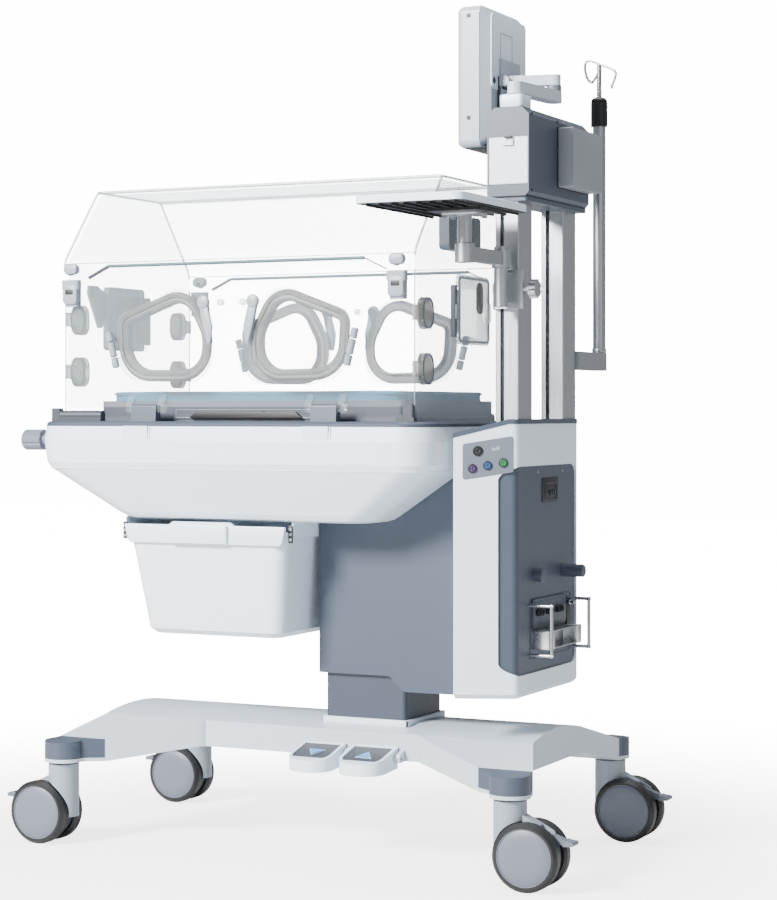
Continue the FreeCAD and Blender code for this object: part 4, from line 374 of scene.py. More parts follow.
NODE_MATERIAL = {
    "base_frame": "base", "arm_caps": "blue", "inner_column": "slate", "lift_actuator": "steel",
    "foot_pedal_down": "shell", "foot_pedal_up": "shell", "lift_rod": "steel", "column_cover": "blue",
    "side_housing": "shell", "side_panel": "blue", "service_metalwork": "steel", "tub": "shell",
    "deck": "blue", "air_unit": "dark", "drawer": "shell", "tilt_knob": "pale", "mattress_tray": "tray",
    "xray_tray": "tray", "hood": "glass", "hood_clamps": "mid", "grommets": "grommet",
    "sensor_box": "slate", "hatch_left": "gasket", "hatch_right": "milky", "mast_posts": "aluminium",
    "head_unit": "blue", "head_door": "shell", "arm_lower": "base", "arm_upper": "base",
    "monitor": "cover", "shelf": "shelf", "shelf_arm": "aluminium", "shelf_mount": "aluminium",
    "iv_pole": "pole", "iv_rod": "steel", "front_panel": "glass", "back_panel": "glass",
    "front_latches": "light", "back_latches": "light",
}


def paint(node, material):
    """Give one of the frame's nodes a material."""
    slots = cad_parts[node].data.materials
    slots.clear()
    slots.append(material)


def smooth_edges(piece):
    """Smooth shading that keeps sharp edges crisp."""
    for face in piece.data.polygons:
        face.use_smooth = True
    piece.data.set_sharp_from_angle(angle=SHARP_ANGLE)


def dress_nodes():
    """Materials of the frame's own nodes, and the wheels' covers."""
    for node, key in NODE_MATERIAL.items():
        paint(node, M[key])
    for end in PORTS:
        paint("port_door_" + end, M["door"])
        paint("port_latch_" + end, M["light"])
    for corner in CASTERS:
        paint("caster_fork_" + corner, M["light"])
        paint("brake_pedal_" + corner, M["pale"])
        low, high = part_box("caster_wheels_" + corner)
        wheel = wheel_material("wheel " + corner, (low + high) / 2, TYRE, DISC, TYRE_INNER * MM)
        paint("caster_wheels_" + corner, wheel)
        dress_wheel(corner, (low + high) / 2, (high.y - low.y) / 2)


# Geometry helpers

def closed_mesh(name, made):
    """Mesh of a closed form, its faces turned outwards."""
    bmesh.ops.recalc_face_normals(made, faces=made.faces)
    return open_mesh(name, made)


def open_mesh(name, made):
    """Mesh of a form as it was made."""
    mesh = bpy.data.meshes.new(name)
    made.to_mesh(mesh)
    made.free()
    return mesh


def join_rings(made, low, high):
    """Faces between two rings of as many points."""
    for i in range(len(low)):
        j = (i + 1) % len(low)
        made.faces.new((low[i], low[j], high[j], high[i]))


def slab(name, low, high):
    """Closed mesh between two equal outlines."""
    made = bmesh.new()
    below = [made.verts.new(p) for p in low]
    above = [made.verts.new(p) for p in high]
    made.faces.new(list(reversed(below)))
    made.faces.new(above)
    join_rings(made, below, above)
    return closed_mesh(name, made)


def mesh_piece(name, mesh, body, material, smooth=True):
    """Object of a mesh, riding on its body."""
    piece = bpy.data.objects.new(name, mesh)
    bpy.context.scene.collection.objects.link(piece)
    mesh.materials.append(material)
    if smooth:
        smooth_edges(piece)
    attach(piece, body)
    return piece


def apply_modifiers(piece):
    """Turn a piece's modifiers into its mesh."""
    graph = bpy.context.evaluated_depsgraph_get()
    mesh = bpy.data.meshes.new_from_object(piece.evaluated_get(graph))
    piece.modifiers.clear()
    piece.data = mesh


def rounded(corners, steps=8):
    """Closed outline of straight sides and arcs from corners given as u, v, radius."""
    ring = []
    count = len(corners)
    for i, (u, v, radius) in enumerate(corners):
        here = Vector((u, v))
        before = (Vector(corners[i - 1][:2]) - here).normalized()
        after = (Vector(corners[(i + 1) % count][:2]) - here).normalized()
        if radius <= 0:
            ring.append(here)
            continue
        half = before.angle(after) / 2
        centre = here + (before + after).normalized() * (radius / math.sin(half))
        a = here + before * (radius / math.tan(half)) - centre
        b = here + after * (radius / math.tan(half)) - centre
        for k in range(steps + 1):
            arm = a.slerp(b, k / steps).normalized() * radius
            ring.append(centre + arm)
    return ring


def inset_ring(corners, distance):
    """Corners moved inwards by a distance; radii shrink with them."""
    moved = []
    count = len(corners)
    middle = sum((Vector(c[:2]) for c in corners), Vector((0, 0))) / count
    for i, (u, v, radius) in enumerate(corners):
        here = Vector((u, v))
        before = (Vector(corners[i - 1][:2]) - here).normalized()
        after = (Vector(corners[(i + 1) % count][:2]) - here).normalized()
        half = before.angle(after) / 2
        along = (before + after).normalized()
        if along.dot(middle - here) < 0:
            along = -along
        point = here + along * (distance / math.sin(half))
        moved.append((point.x, point.y, max(2.0, radius - distance)))
    return moved


def on_plane(u, v, level, axis):
    """Place on the plane at a level of an axis."""
    if axis == "x":
        return at(level, u, v)
    if axis == "y":
        return at(u, level, v)
    return at(u, v, level)


def plate(name, corners, axis, low, high, body, material, bevel=0.6):
    """Bevelled plate with a rounded outline, between two levels of an axis."""
    ring = rounded(corners)
    sides = [[on_plane(p.x, p.y, level, axis) for p in ring] for level in (low, high)]
    piece = mesh_piece(name, slab(name, *sides), body, material, smooth=False)
    edge = piece.modifiers.new("edge", "BEVEL")
    edge.width = bevel * MM
    edge.segments = 2
    edge.limit_method = "ANGLE"
    apply_modifiers(piece)
    smooth_edges(piece)


def bead(name, points, radius, body, material, closed=True):
    """Round bead laid along points."""
    curve = bpy.data.curves.new(name, "CURVE")
    curve.dimensions = "3D"
    curve.bevel_depth = radius * MM
    curve.bevel_resolution = 3
    curve.use_fill_caps = True
    line = curve.splines.new("POLY")
    line.points.add(len(points) - 1)
    for spot, point in zip(line.points, points):
        spot.co = (*point, 1)
    line.use_cyclic_u = closed
    piece = bpy.data.objects.new(name, curve)
    bpy.context.scene.collection.objects.link(piece)
    curve.materials.append(material)
    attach(piece, body)


def smooth_path(points, steps=5):
    """Curved line through the points."""
    path = []
    ends = [points[0]] + list(points) + [points[-1]]
    for a, b, c, d in zip(ends, ends[1:], ends[2:], ends[3:]):
        for k in range(steps):
            t = k / steps
            path.append(0.5 * (2 * b + (c - a) * t + (2 * a - 5 * b + 4 * c - d) * t ** 2
                               + (3 * b - a - 3 * c + d) * t ** 3))
    path.append(points[-1])
    return path


def revolve(name, profile, start, direction, body, material, steps=28):
    """Turned piece: profile of (distance along, radius) about a line."""
    direction = Vector(direction).normalized()
    side = direction.orthogonal().normalized()
    other = direction.cross(side)
    made = bmesh.new()
    rings = []
    for along, radius in profile:
        ring = []
        for k in range(steps):
            angle = 2 * math.pi * k / steps
            offset = (side * math.cos(angle) + other * math.sin(angle)) * radius
            ring.append(made.verts.new(start + (direction * along + offset) * MM))
        rings.append(ring)
    for low, high in zip(rings, rings[1:]):
        join_rings(made, low, high)
    made.faces.new(list(reversed(rings[0])))
    made.faces.new(rings[-1])
    return mesh_piece(name, closed_mesh(name, made), body, material)


def ring_piece(name, rings, body, material):
    """Moulded ring through closed outlines that go once round its section."""
    made = bmesh.new()
    loops = [[made.verts.new(p) for p in ring] for ring in rings]
    for low, high in zip(loops, loops[1:] + loops[:1]):
        join_rings(made, low, high)
    mesh_piece(name, closed_mesh(name, made), body, material)


def box_corners(u0, u1, v0, v1, radius):
    """Rectangle's corners with one radius."""
    return [(u0, v0, radius), (u1, v0, radius), (u1, v1, radius), (u0, v1, radius)]


def screw(name, place, direction, body, radius=2.6):
    """Countersunk screw head with a socket."""
    profile = [(-0.8, radius), (0.5, radius), (0.9, radius * 0.8), (0.9, radius * 0.45), (0.1, radius * 0.4)]
    revolve(name, profile, place, direction, body, M["steel"], 16)


# Hand ports

def port_x(x, right):
    """Place across a port from that on the front left one."""
    return 2 * PORT_MIRROR_X - x if right else x


def port_corners(right):
    """Corners of a left or right port's outline."""
    corners = [(port_x(x, right), z, radius) for x, z, radius in PORT_CORNERS]
    return corners[::-1] if right else corners


def hinge_line(right, side):
    """Middle and direction of a port's tilted hinge line."""
    x, z = HINGE_MIDDLE
    run, rise = HINGE_RUN
    line = Vector((-run if right else run, 0, rise)).normalized()
    return at(port_x(x, right), side * HINGE_OUT, z), line


def dress_port(end):
    """Milky gasket, hinge sleeves, rounded latch and bumper of one hand port."""
    side = -1 if end[0] == "f" else 1
    right = end[1] == "r"
    door, latch, panel = "door_" + end, "latch_" + end, SIDE_NAME[side] + "_panel_body"
    soft = [(u, v, radius * 1.3) for u, v, radius in port_corners(right)]
    rings = [[at(p.x, side * out, p.y) for p in rounded(inset_ring(soft, inset), 12)]
             for inset, out in GASKET_SECTION]
    ring_piece("port_gasket_" + end, rings, door, M["gasket"])
    middle, line = hinge_line(right, side)
    sleeve = [(-14.2, 5.6), (-12.8, 7.0), (12.8, 7.0), (14.2, 5.6)]
    revolve("port_knuckle_" + end, sleeve, middle, line, door, M["light"], 20)
    for name, offset in (("low", -26.3), ("high", 26.3)):
        collar = [(-9.8, 6.0), (-8.8, 7.12), (8.8, 7.12), (9.8, 6.0)]
        revolve("port_lug_" + name + "_" + end, collar, middle + line * offset * MM, line, panel,
                M["light"], 20)
    x, z = LATCH_AXIS
    cap = [(0.0, 12.5), (4.0, 13.4), (7.5, 11.5), (9.0, 7.0)]
    revolve("port_latch_cap_" + end, cap, at(port_x(x, right), side * HINGE_OUT, z), (0, side, 0), latch,
            M["light"], 28)
    lever = [(port_x(x, right), z, radius) for x, z, radius in PORT_LEVER]
    plate("port_lever_" + end, lever, "y", side * HINGE_OUT, side * (HINGE_OUT + 5.5), latch,
          M["light"], 1.6)
    x, z = BUMPER
    stop = [(0.0, 6.0), (6.0, 6.0), (9.0, 4.6), (10.0, 2.0)]
    revolve("port_bumper_" + end, stop, at(port_x(x, right), side * HOOD_FACE, z), (0, side, 0), panel,
            M["milky"], 24)


# Hood and access panels

def dress_panel(side):
    """Seals along the panel's upper edge and the rounded covers of its two latches."""
    tag = SIDE_NAME[side]
    seals = (("left", 1, 3.4, "mid"), ("middle", 2, 3.4, "seal"), ("right", 3, 1.4, "mid"))
    for name, first, radius, material in seals:
        seam = [at(x, side * (HOOD_FACE + 0.8), z + 1.0) for x, z in ACCESS_TOP[first:first + 2]]
        bead("panel_seal_" + name + "_" + tag, seam, radius, tag + "_panel_body", M[material],
             closed=False)
    covers = (("body", 17.0, 1072.0, 1112.0, 9.0, 0.6, 18.0, "white_shell", "light", 4.0),
              ("slot", 9.0, 1092.0, 1102.0, 2.0, 17.6, 18.6, "dark_plastic", "dark", 0.3),
              ("neck", 10.0, 1110.0, 1121.0, 3.0, 1.0, 13.0, "white_shell", "light", 1.5))
    for x in LATCH_X:
        for cover, half, z0, z1, radius, inner, outer, slot, material, bevel in covers:
            name = "latch_" + cover + "_" + tag + ("_l" if x < 0 else "_r")
            plate(name, box_corners(x - half, x + half, z0, z1, radius), "y", side * (HOOD_FACE + inner),
                  side * (HOOD_FACE + outer), tag + "_latches_body", M[material], bevel)


def dress_hood():
    """Beads of painted highlight along the canopy's edges and folds and the panels' upright edges, and the
    latch studs' rounded caps.
    """
    for tag, x in (("left", HOOD_LEFT - 0.6), ("right", HOOD_RIGHT + 0.6)):
        ring = [at(x, p.x * 0.997, min(p.y, HOOD_TOP - 0.6)) for p in rounded(HOOD_PROFILE)]
        arch = [point for point in ring if point.z > 1126.0 * MM]
        bead("hood_edge_" + tag, arch, 2.3, "lift", M["edge"], closed=False)
    for side in (-1, 1):
        tag = SIDE_NAME[side][0]
        for y, z, radius in ((253.746, 1154.0, 1.0), (125.874, 1307.2, 3.4)):
            fold = [at(x, side * y, z) for x in (HOOD_LEFT, HOOD_RIGHT)]
            bead("hood_fold_" + tag + str(int(z)), fold, radius, "lift", M["edge"], closed=False)
        for name, x in (("l", HOOD_LEFT + 0.6), ("r", HOOD_RIGHT - 0.6)):
            post = [at(x, side * (HOOD_FACE - 1.4), z) for z in (850.0, 1123.0)]
            bead("panel_edge_" + tag + name, post, 1.3, SIDE_NAME[side] + "_panel_body",
                 M["edge"], closed=False)
        for x in LATCH_X:
            name = "latch_stud_" + tag + ("l" if x < 0 else "r")
            plate(name, box_corners(x - 16.0, x + 16.0, 1132.0, 1153.0, 9.0), "y", side * (HOOD_FACE + 0.4),
                  side * 270.0, "lift", M["light"], 5.0)


def dress_grommets():
    """Rolled rims of the tube grommets on the outer side of each end wall."""
    for tag, x in (("left", HOOD_LEFT - 4.2), ("right", HOOD_RIGHT + 4.2)):
        for side in (-1, 1):
            for z in GROMMET_Z:
                y = side * GROMMET_Y
                corners = box_corners(y - 23.0, y + 23.0, z - 26.5, z + 26.5, 20.0)
                ring = [at(x, p.x, p.y) for p in rounded(corners)]
                name = "grommet_rim_" + tag + "_" + SIDE_NAME[side][0] + "_" + str(int(z))
                bead(name, ring, 1.8, "lift", M["soft"])


# Side panel and control field

def face_point(along, z, out):
    """Point on the housing's angled front face."""
    run = Vector((HOUSING_RIGHT - HOUSING_LEFT, HOUSING_DEPTH)).normalized()
    return at(HOUSING_LEFT + run.x * along + run.y * out, HOUSING_FRONT + run.y * along - run.x * out, z)


def face_plate(name, corners, low, high, material):
    """Plate on the housing's angled front face."""
    ring = rounded(corners)
    sides = [[face_point(p.x, p.y, level) for p in ring] for level in (low, high)]
    mesh_piece(name, slab(name, *sides), "lift", material)


def dress_controls():
    """Control field with its sockets and data port."""
    field = [(17.0, 732.0, 5.0), (111.0, 747.0, 5.0), (111.0, 814.0, 5.0), (17.0, 799.0, 5.0)]
    face_plate("control_field", field, -0.5, 0.8, M["pale"])
    out = face_point(0, 0, 1) - face_point(0, 0, 0)
    sockets = (("probe", 45.0, 786.0, 7.5, "dark"), ("left", 35.0, 753.5, 6.5, "purple"),
               ("middle", 63.0, 759.0, 6.5, "azure"), ("right", 92.0, 764.2, 6.5, "green"))
    for name, along, z, radius, color in sockets:
        cup = [(0.2, radius + 2.0), (2.4, radius + 1.8), (2.8, radius + 0.6), (0.9, radius)]
        revolve("socket_rim_" + name, cup, face_point(along, z, 0.6), out, "lift",
                M["dark"], 28)
        core = [(0.9, radius + 0.4), (1.7, radius), (1.9, radius * 0.5), (1.2, radius * 0.4)]
        revolve("socket_" + name, core, face_point(along, z, 1.0), out, "lift", M[color], 28)
        for k in range(3):
            turn = 2 * math.pi * k / 3
            spot = face_point(along + radius * 0.5 * math.cos(turn), z + radius * 0.5 * math.sin(turn), 2.6)
            revolve("socket_pin_" + name + str(k), [(0.0, 0.9), (1.0, 0.8)], spot, out, "lift",
                    M["steel"], 10)
    usb = [(71.0, 786.0, 1.0), (86.0, 788.4, 1.0), (86.0, 796.0, 1.0), (71.0, 793.6, 1.0)]
    face_plate("data_port", usb, 0.6, 1.6, M["light"])
    slit = [(73.0, 791.0, 0.5), (79.0, 792.0, 0.5), (79.0, 794.4, 0.5), (73.0, 793.4, 0.5)]
    face_plate("data_port_slit", slit, 1.6, 1.9, M["pale"])


def dress_side_panel():
    """Mains inlet, outlined service field with twin connectors and filter, bright blocks of the channel."""
    face = room("service_metalwork")[0]
    field = face + SERVICE_SINK
    plate("inlet_frame", box_corners(-38.0, 48.0, 686.0, 733.0, 4.0), "x", face - 1.0, face + 1.4, "lift",
          M["dark"])
    rim = [at(face + 1.6, p.x, p.y) for p in rounded(box_corners(-22.0, 38.0, 690.0, 722.0, 5.0))]
    bead("inlet_rim", rim, 1.1, "lift", M["mid"])
    for k in range(3):
        y = 2.0 + 11.0 * k
        plate("inlet_blade_" + str(k), box_corners(y, y + 3.0, 700.0, 709.0, 0.8), "x", face + 1.4,
              face + 4.0, "lift", M["mid"], 0.3)
    outline = rounded(box_corners(-100.0, 116.0, 394.0, 507.0, 5.0))
    bead("service_outline", [at(face + 0.1, p.x, p.y) for p in outline], 0.9, "lift", M["mid"])
    plate("service_field", box_corners(-88.0, 84.0, 454.0, 501.0, 6.0), "x", field - 0.4, field + 0.8, "lift",
          M["blue"])
    for k in range(3):
        y = -78.0 + 52.0 * k
        for j in range(2):
            centre = y + 8.0 + 15.0 * j
            ring = [(0.0, 7.4), (6.0, 7.2), (7.0, 5.6), (3.0, 4.6), (2.8, 1.0)]
            revolve("connector_" + str(k) + str(j), ring, at(field + 0.8, centre, 480.0 - j * 0.5), (1, 0, 0),
                    "lift", M["dark"], 20)
        plate("connector_base_" + str(k), box_corners(y, y + 31.0, 473.0, 487.0, 6.0), "x", field + 0.8,
              field + 4.0, "lift", M["dark"])
    plate("filter_window", box_corners(92.0, 114.0, 434.0, 498.0, 5.0), "x", face - 0.4, face + 3.0, "lift",
          M["dark"])
    fitting = [(0.0, 5.0), (10.0, 5.0), (10.5, 3.4), (20.0, 3.4), (21.0, 2.4)]
    revolve("filter_fitting", fitting, at(face + 1.0, 100.0, 488.0), (1, -0.5, 0), "lift",
            M["steel"], 20)
    for name, y0, y1 in (("front", -91.0, -58.0), ("rear", 66.0, 89.0)):
        plate("channel_block_" + name, box_corners(y0, y1, 411.4, 446.6, 2.0), "x", 451.0, 481.6, "lift",
              M["bright"], 1.2)
    screw("channel_screw", at(481.6, -74.0, 429.0), (1, 0, 0), "lift", 3.0)
    for y in (-57.0, 76.0):
        screw("panel_screw_" + str(int(y + 200)), at(face, y, 745.0), (1, 0, 0), "lift", 3.0)


# Head unit, monitor, shelf, pole

def dark_hole(name, place, direction, body, radius=3.6):
    """Dark hole with a low rim."""
    profile = [(-0.6, radius + 0.8), (0.5, radius + 0.6), (0.5, radius), (0.05, radius * 0.9)]
    revolve(name, profile, place, direction, body, M["dark"], 18)


def dress_head():
    """Seam, holes, side pod, door catch and the foot and elbow of the arm."""
    rim = [at(x, y, 1259.0) for x, y in ((386.8, -165.2), (462.0, -165.2))]
    bead("head_seam_front", rim, 0.8, "lift", M["mid"], closed=False)
    for y, z in ((-150.0, 1412.0), (-150.0, 1270.0), (-16.0, 1410.0)):
        name = "head_hole_" + str(int(y + 200)) + "_" + str(int(z))
        dark_hole(name, at(470.0, y, z), (1, 0, 0), "lift", 2.8)
    plate("pod_cover", box_corners(-13.6, 152.6, 1286.4, 1400.6, 4.0), "x", 470.2, 501.0, "lift",
          M["pod"], 3.0)
    outline = rounded(box_corners(-14.4, 153.4, 1285.6, 1401.4, 4.0))
    bead("pod_seam", [at(470.6, p.x, p.y) for p in outline], 1.2, "lift", M["dark"])
    plate("door_catch", box_corners(423.0, 439.0, 1366.0, 1370.0, 1.0), "y", -171.2, -168.0, "head_door_body",
          M["dark"], 0.3)
    plate("arm_foot", box_corners(409.4, 455.6, -162.6, -109.4, 8.0), "z", 1424.4, 1448.8, "lift",
          M["shell"], 2.0)
    elbow = [(0.0, 13.0), (0.6, 14.2), (11.0, 14.2), (11.6, 13.0)]
    revolve("arm_elbow_ring", elbow, at(450.0, 21.0, 1474.2), (0, 0, 1), "arm_lower_body",
            M["pale"], 32)


def dress_monitor():
    """Screen, bezel, back plate, bracket, holes and foot of the monitor."""
    x0, _, y0, y1, z0, z1 = room("monitor")
    body = "monitor_body"
    plate("monitor_glass", box_corners(y0 + 18.0, y1 - 18.0, z0 + 19.0, z1 - 18.0, 3.0), "x", x0 + 1.4,
          x0 + 2.6, body, M["screen"], 0.3)
    plate("monitor_bezel", box_corners(y0 + 8.0, y1 - 8.0, z0 + 9.0, z1 - 8.0, 10.0), "x", x0 + 0.9,
          x0 + 1.6, body, M["dark"], 0.3)
    plate("monitor_back", box_corners(y0 + 14.0, y1 - 14.0, z1 - 160.0, z1 - 14.0, 12.0), "x", x0 + 63.0,
          x0 + 65.4, body, M["shell"], 0.8)
    outline = rounded(box_corners(-8.0, 52.0, 1508.0, 1590.0, 3.0))
    bead("monitor_cover_seam", [at(x0 + 65.5, p.x, p.y) for p in outline], 0.6, body,
         M["pale"])
    plate("monitor_bracket", box_corners(-22.0, 44.0, 1440.0, 1506.0, 4.0), "x", x0 + 64.6, x0 + 68.0, body,
          M["mid"], 0.6)
    dark_hole("monitor_socket", at(x0 + 65.4, -41.0, 1495.0), (1, 0, 0), body, 6.0)
    for z in (1422.0, 1618.0):
        dark_hole("monitor_hole_" + str(int(z)), at(310.0, y0, z), (0, -1, 0), body, 3.6)
    plate("monitor_foot", box_corners(296.0, 344.0, y0 + 10.0, y1 - 10.0, 6.0), "z", z0 - 0.4, z0 + 2.0, body,
          M["dark"])
    seam = [at(331.8, y0 - 0.2, z) for z in (z0 + 14.0, z1 - 14.0)]
    bead("monitor_seam", seam, 0.5, body, M["pale"], closed=False)


def dress_shelf():
    """Post, bracket and bolts under the shelf, its raised lip and mat."""
    x0, x1, y0, y1, _, top = room("shelf")
    x, y = SHELF_POST
    sleeve = [(0.0, 12.6), (0.6, 13.2), (54.0, 13.2), (56.0, 15.0), (62.0, 15.0)]
    revolve("shelf_post", sleeve, at(x, y, 1158.0), (0, 0, 1), "shelf_body", M["aluminium"], 32)
    plate("shelf_bracket", box_corners(x - 36.0, x + 36.0, y - 26.0, y + 26.0, 8.0), "z", 1208.0, 1214.0,
          "shelf_body", M["aluminium"], 1.2)
    bolt = [(0.0, 5.0), (5.0, 5.0), (5.6, 4.2), (18.0, 4.2)]
    for bolt_x in (x - 30.0, x + 30.0):
        for bolt_y in (y - 20.0, y + 20.0):
            name = "shelf_bolt_" + str(int(bolt_x)) + str(int(-bolt_y))
            revolve(name, bolt, at(bolt_x, bolt_y, 1203.0), (0, 0, 1), "shelf_body", M["steel"], 14)
    edge = rounded(box_corners(x0 + 3.0, x1 - 3.0, y0 + 3.0, y1 - 3.0, 19.0))
    bead("shelf_lip", [at(p.x, p.y, top - 0.6) for p in edge], 1.8, "shelf_body", M["shell"])
    plate("shelf_mat", box_corners(x0 + 8.0, x1 - 8.0, y0 + 8.0, y1 - 8.0, 14.0), "z", top - 8.4, top - 7.2,
          "shelf_body", M["mid"])


def dress_pole():
    """Rounded collar top, the rod with its bent hook, and the foot ring."""
    left, right, _, _, _, top = room("iv_pole")
    _, _, front, back, rod_low, _ = room("iv_rod")
    x, y = (left + right) / 2, (front + back) / 2
    dome = [(0.0, 16.8), (3.0, 16.2), (6.5, 13.4), (8.5, 9.0), (9.0, 5.6)]
    revolve("pole_collar_top", dome, at(x, y, top - 1.0), (0, 0, 1), "lift", M["dark"], 32)
    bar = [(0.0, 4.4), (0.8, 5.0), (412.0, 5.0), (414.0, 4.0)]
    rod = revolve("iv_rod_bar", bar, at(x, y, rod_low), (0, 0, 1), "iv_rod_body", M["steel"], 24)
    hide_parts("iv_rod")
    route = [at(u, y, v) for u, v in IV_WIRE]
    bead("iv_hook_wire", smooth_path(route), 2.7, "iv_rod_body", M["steel"], closed=False)
    foot = [(0.0, 13.4), (2.0, 14.6), (8.0, 14.6), (10.0, 13.4)]
    revolve("pole_foot_ring", foot, at(x, y, 978.0), (0, 0, 1), "lift", M["steel"], 32)


# Base, pedals, tub and mattress

def dress_wheel(corner, centre, half_width):
    """Plain domed cover over the hub of each of the two wheels."""
    cover = [(-3.6, 50.4), (-1.6, 50.4), (-0.4, 48.6), (0.5, 30.0), (0.8, 2.0)]
    for tag, side in (("a", -1), ("b", 1)):
        face = centre + Vector((0, side * half_width, 0))
        revolve("wheel_cover_" + corner + "_" + tag, cover, face, (0, side, 0), "wheels_" + corner,
                M["disc"], 40)


def dress_pedal(tag, tip):
    """Dark insert in the pedal's sunk and sloping field, with the direction arrow."""
    x0, x1, nose, heel, _, top = room("foot_pedal_" + tag)
    x, y = (x0 + x1) / 2, (nose + heel) / 2
    left, right = x0 + 15.1, x1 - 15.1
    field = [(left, nose + 7.0, 28.0), (right, nose + 7.0, 28.0), (right, heel - 7.0, 3.0),
             (left, heel - 7.0, 3.0)]
    foot = y - tip * 0.7
    arrow = [(x - 15.0, foot, 1.0), (x + 15.0, foot, 1.0), (x, y + tip, 1.0)]

    def over_field(point, height):
        fall = PEDAL_FALL * (heel - point.y) / (heel - nose)
        return at(point.x, point.y, top - fall - PEDAL_SINK + height)

    for kind, outline, rise, material in (("insert", field, 0.5, "mid"), ("arrow", arrow, 2.6, "arrow")):
        name = "pedal_" + kind + "_" + tag
        sides = [[over_field(p, height) for p in rounded(outline, 6)] for height in (-0.5, rise)]
        mesh_piece(name, slab(name, *sides), "foot_pedal_" + tag + "_body", M[material])


def soft_mattress():
    """Crowned mattress with sides pulled in and a welt round its upper edge."""
    low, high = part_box("mattress")
    centre = (low + high) / 2
    half = (high - low) / 2
    made = bmesh.new()
    bmesh.ops.create_cube(made, size=2.0)
    bmesh.ops.subdivide_edges(made, edges=made.edges[:], cuts=14, use_grid_fill=True)
    corner = MATTRESS_CORNER * MM
    for vert in made.verts:
        u, v, w = vert.co
        x, y = u * half.x, v * half.y
        over_x = max(0.0, abs(x) - (half.x - corner))
        over_y = max(0.0, abs(y) - (half.y - corner))
        reach = math.hypot(over_x, over_y)
        if reach > corner:
            x = math.copysign(half.x - corner + over_x * corner / reach, x)
            y = math.copysign(half.y - corner + over_y * corner / reach, y)
        rim = max(abs(u), abs(v))
        crown = 1.0 - 0.10 * rim ** 4 - 0.05 * (1 - math.cos(3 * math.pi * u)) * (1 - rim ** 2) * 0.5
        waist = 1.0 - 0.006 * (1 - w * w) if rim > 0.98 else 1.0
        z = w * half.z * (crown if w > 0 else 1.0)
        vert.co = Vector((centre.x + x * waist, centre.y + y * waist, centre.z + z))
    mesh = open_mesh("mattress_soft", made)
    piece = mesh_piece("mattress_soft", mesh, "tray", M["mattress"])
    rounding = piece.modifiers.new("round", "SUBSURF")
    rounding.levels = 1
    rounding.render_levels = 1
    apply_modifiers(piece)
    for face in piece.data.polygons:
        face.use_smooth = True
    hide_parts("mattress")
    left, right, front, back = (place / MM for place in (low.x, high.x, low.y, high.y))
    ring = rounded(box_corners(left + 1.0, right - 1.0, front + 1.0, back - 1.0, MATTRESS_CORNER))
    points = [Vector((p.x * MM, p.y * MM, high.z - 6.5 * MM)) for p in ring]
    bead("mattress_welt", points, 1.4, "tray", M["mattress"])


def tub_line(z, half_x, half_y, radius):
    """Closed line round the tub at a height."""
    x0, x1 = room("tub")[:2]
    middle = (x0 + x1) / 2
    corners = box_corners(middle - half_x, middle + half_x, -half_y, half_y, radius)
    return [at(p.x, p.y, z) for p in rounded(corners, 10)]


def dress_tub():
    """Crease round the tub, a dark bead of painted shadow in the gap between deck and tub, and the tabs under
    the hinges.
    """
    bead("tub_crease", tub_line(747.2, 418.8, 283.3, 60.0), 0.7, "lift", M["shell"])
    # Painted shadow: dark line where the gap between deck and tub lies in shade
    bead("deck_gap_shadow", tub_line(831.0, 426.2, 290.7, 64.0), 0.9, "lift", M["mid"])
    for side in (-1, 1):
        for x0, x1 in ((-326.0, -266.0), (67.0, 125.0)):
            corners = ((x0, 291.2, 829.0), (x0, 293.6, 808.0), (x1, 293.6, 808.0), (x1, 291.2, 829.0))
            name = "tub_tab_" + SIDE_NAME[side][0] + str(int(x0 + 406))
            bead(name, [at(x, side * y, z) for x, y, z in corners], 0.9, "lift", M["mid"],
                 closed=False)


def dress_drawer():
    """Front flange with its grip, and the ends of the slide rails."""
    lip = [(-361.0, 637.0, 3.0), (-3.0, 637.0, 3.0), (-10.0, 600.0, 11.0), (-353.0, 600.0, 11.0)]
    plate("drawer_lip", lip, "y", -231.0, -222.4, "drawer_body", M["shell"], 2.0)
    grip = [(-254.0, 638.0, 3.0), (-127.0, 638.0, 3.0), (-127.0, 601.0, 4.0), (-254.0, 601.0, 4.0)]
    plate("drawer_grip", grip, "y", -239.0, -230.4, "drawer_body", M["shell"], 3.0)
    for tag, x in (("left", -374.0), ("right", -4.0)):
        plate("rail_end_" + tag, box_corners(x, x + 9.0, 606.0, 640.0, 1.0), "y", -214.0, -211.0,
              "drawer_body", M["dark"], 0.4)
        for k in range(3):
            z = 610.0 + 10.0 * k
            plate("rail_slot_" + tag + str(k), box_corners(x + 2.0, x + 7.0, z, z + 5.0, 1.0), "y", -214.6,
                  -213.8, "drawer_body", M["light"], 0.2)


def dress_xray():
    """Pale front frame of the film tray with its dark grip recess."""
    x0, x1, front, _, z0, z1 = room("xray_tray")
    outline = rounded(box_corners(x0 + 2.5, x1 - 2.5, z0 + 2.0, z1 - 1.0, 2.0))
    bead("xray_frame", [at(p.x, front + 6.8, p.y) for p in outline], 0.8, "xray_tray_body",
         M["light"])
    recess = [(x0 + 34.5, z0 + 1.6, 1.0), (x1 - 23.5, z0 + 1.6, 1.0), (x1 - 37.5, z0 + 13.6, 3.0),
              (x0 + 50.5, z0 + 13.6, 3.0)]
    plate("xray_recess", recess, "y", front - 0.6, front + 7.2, "xray_tray_body",
          M["dark"], 0.6)


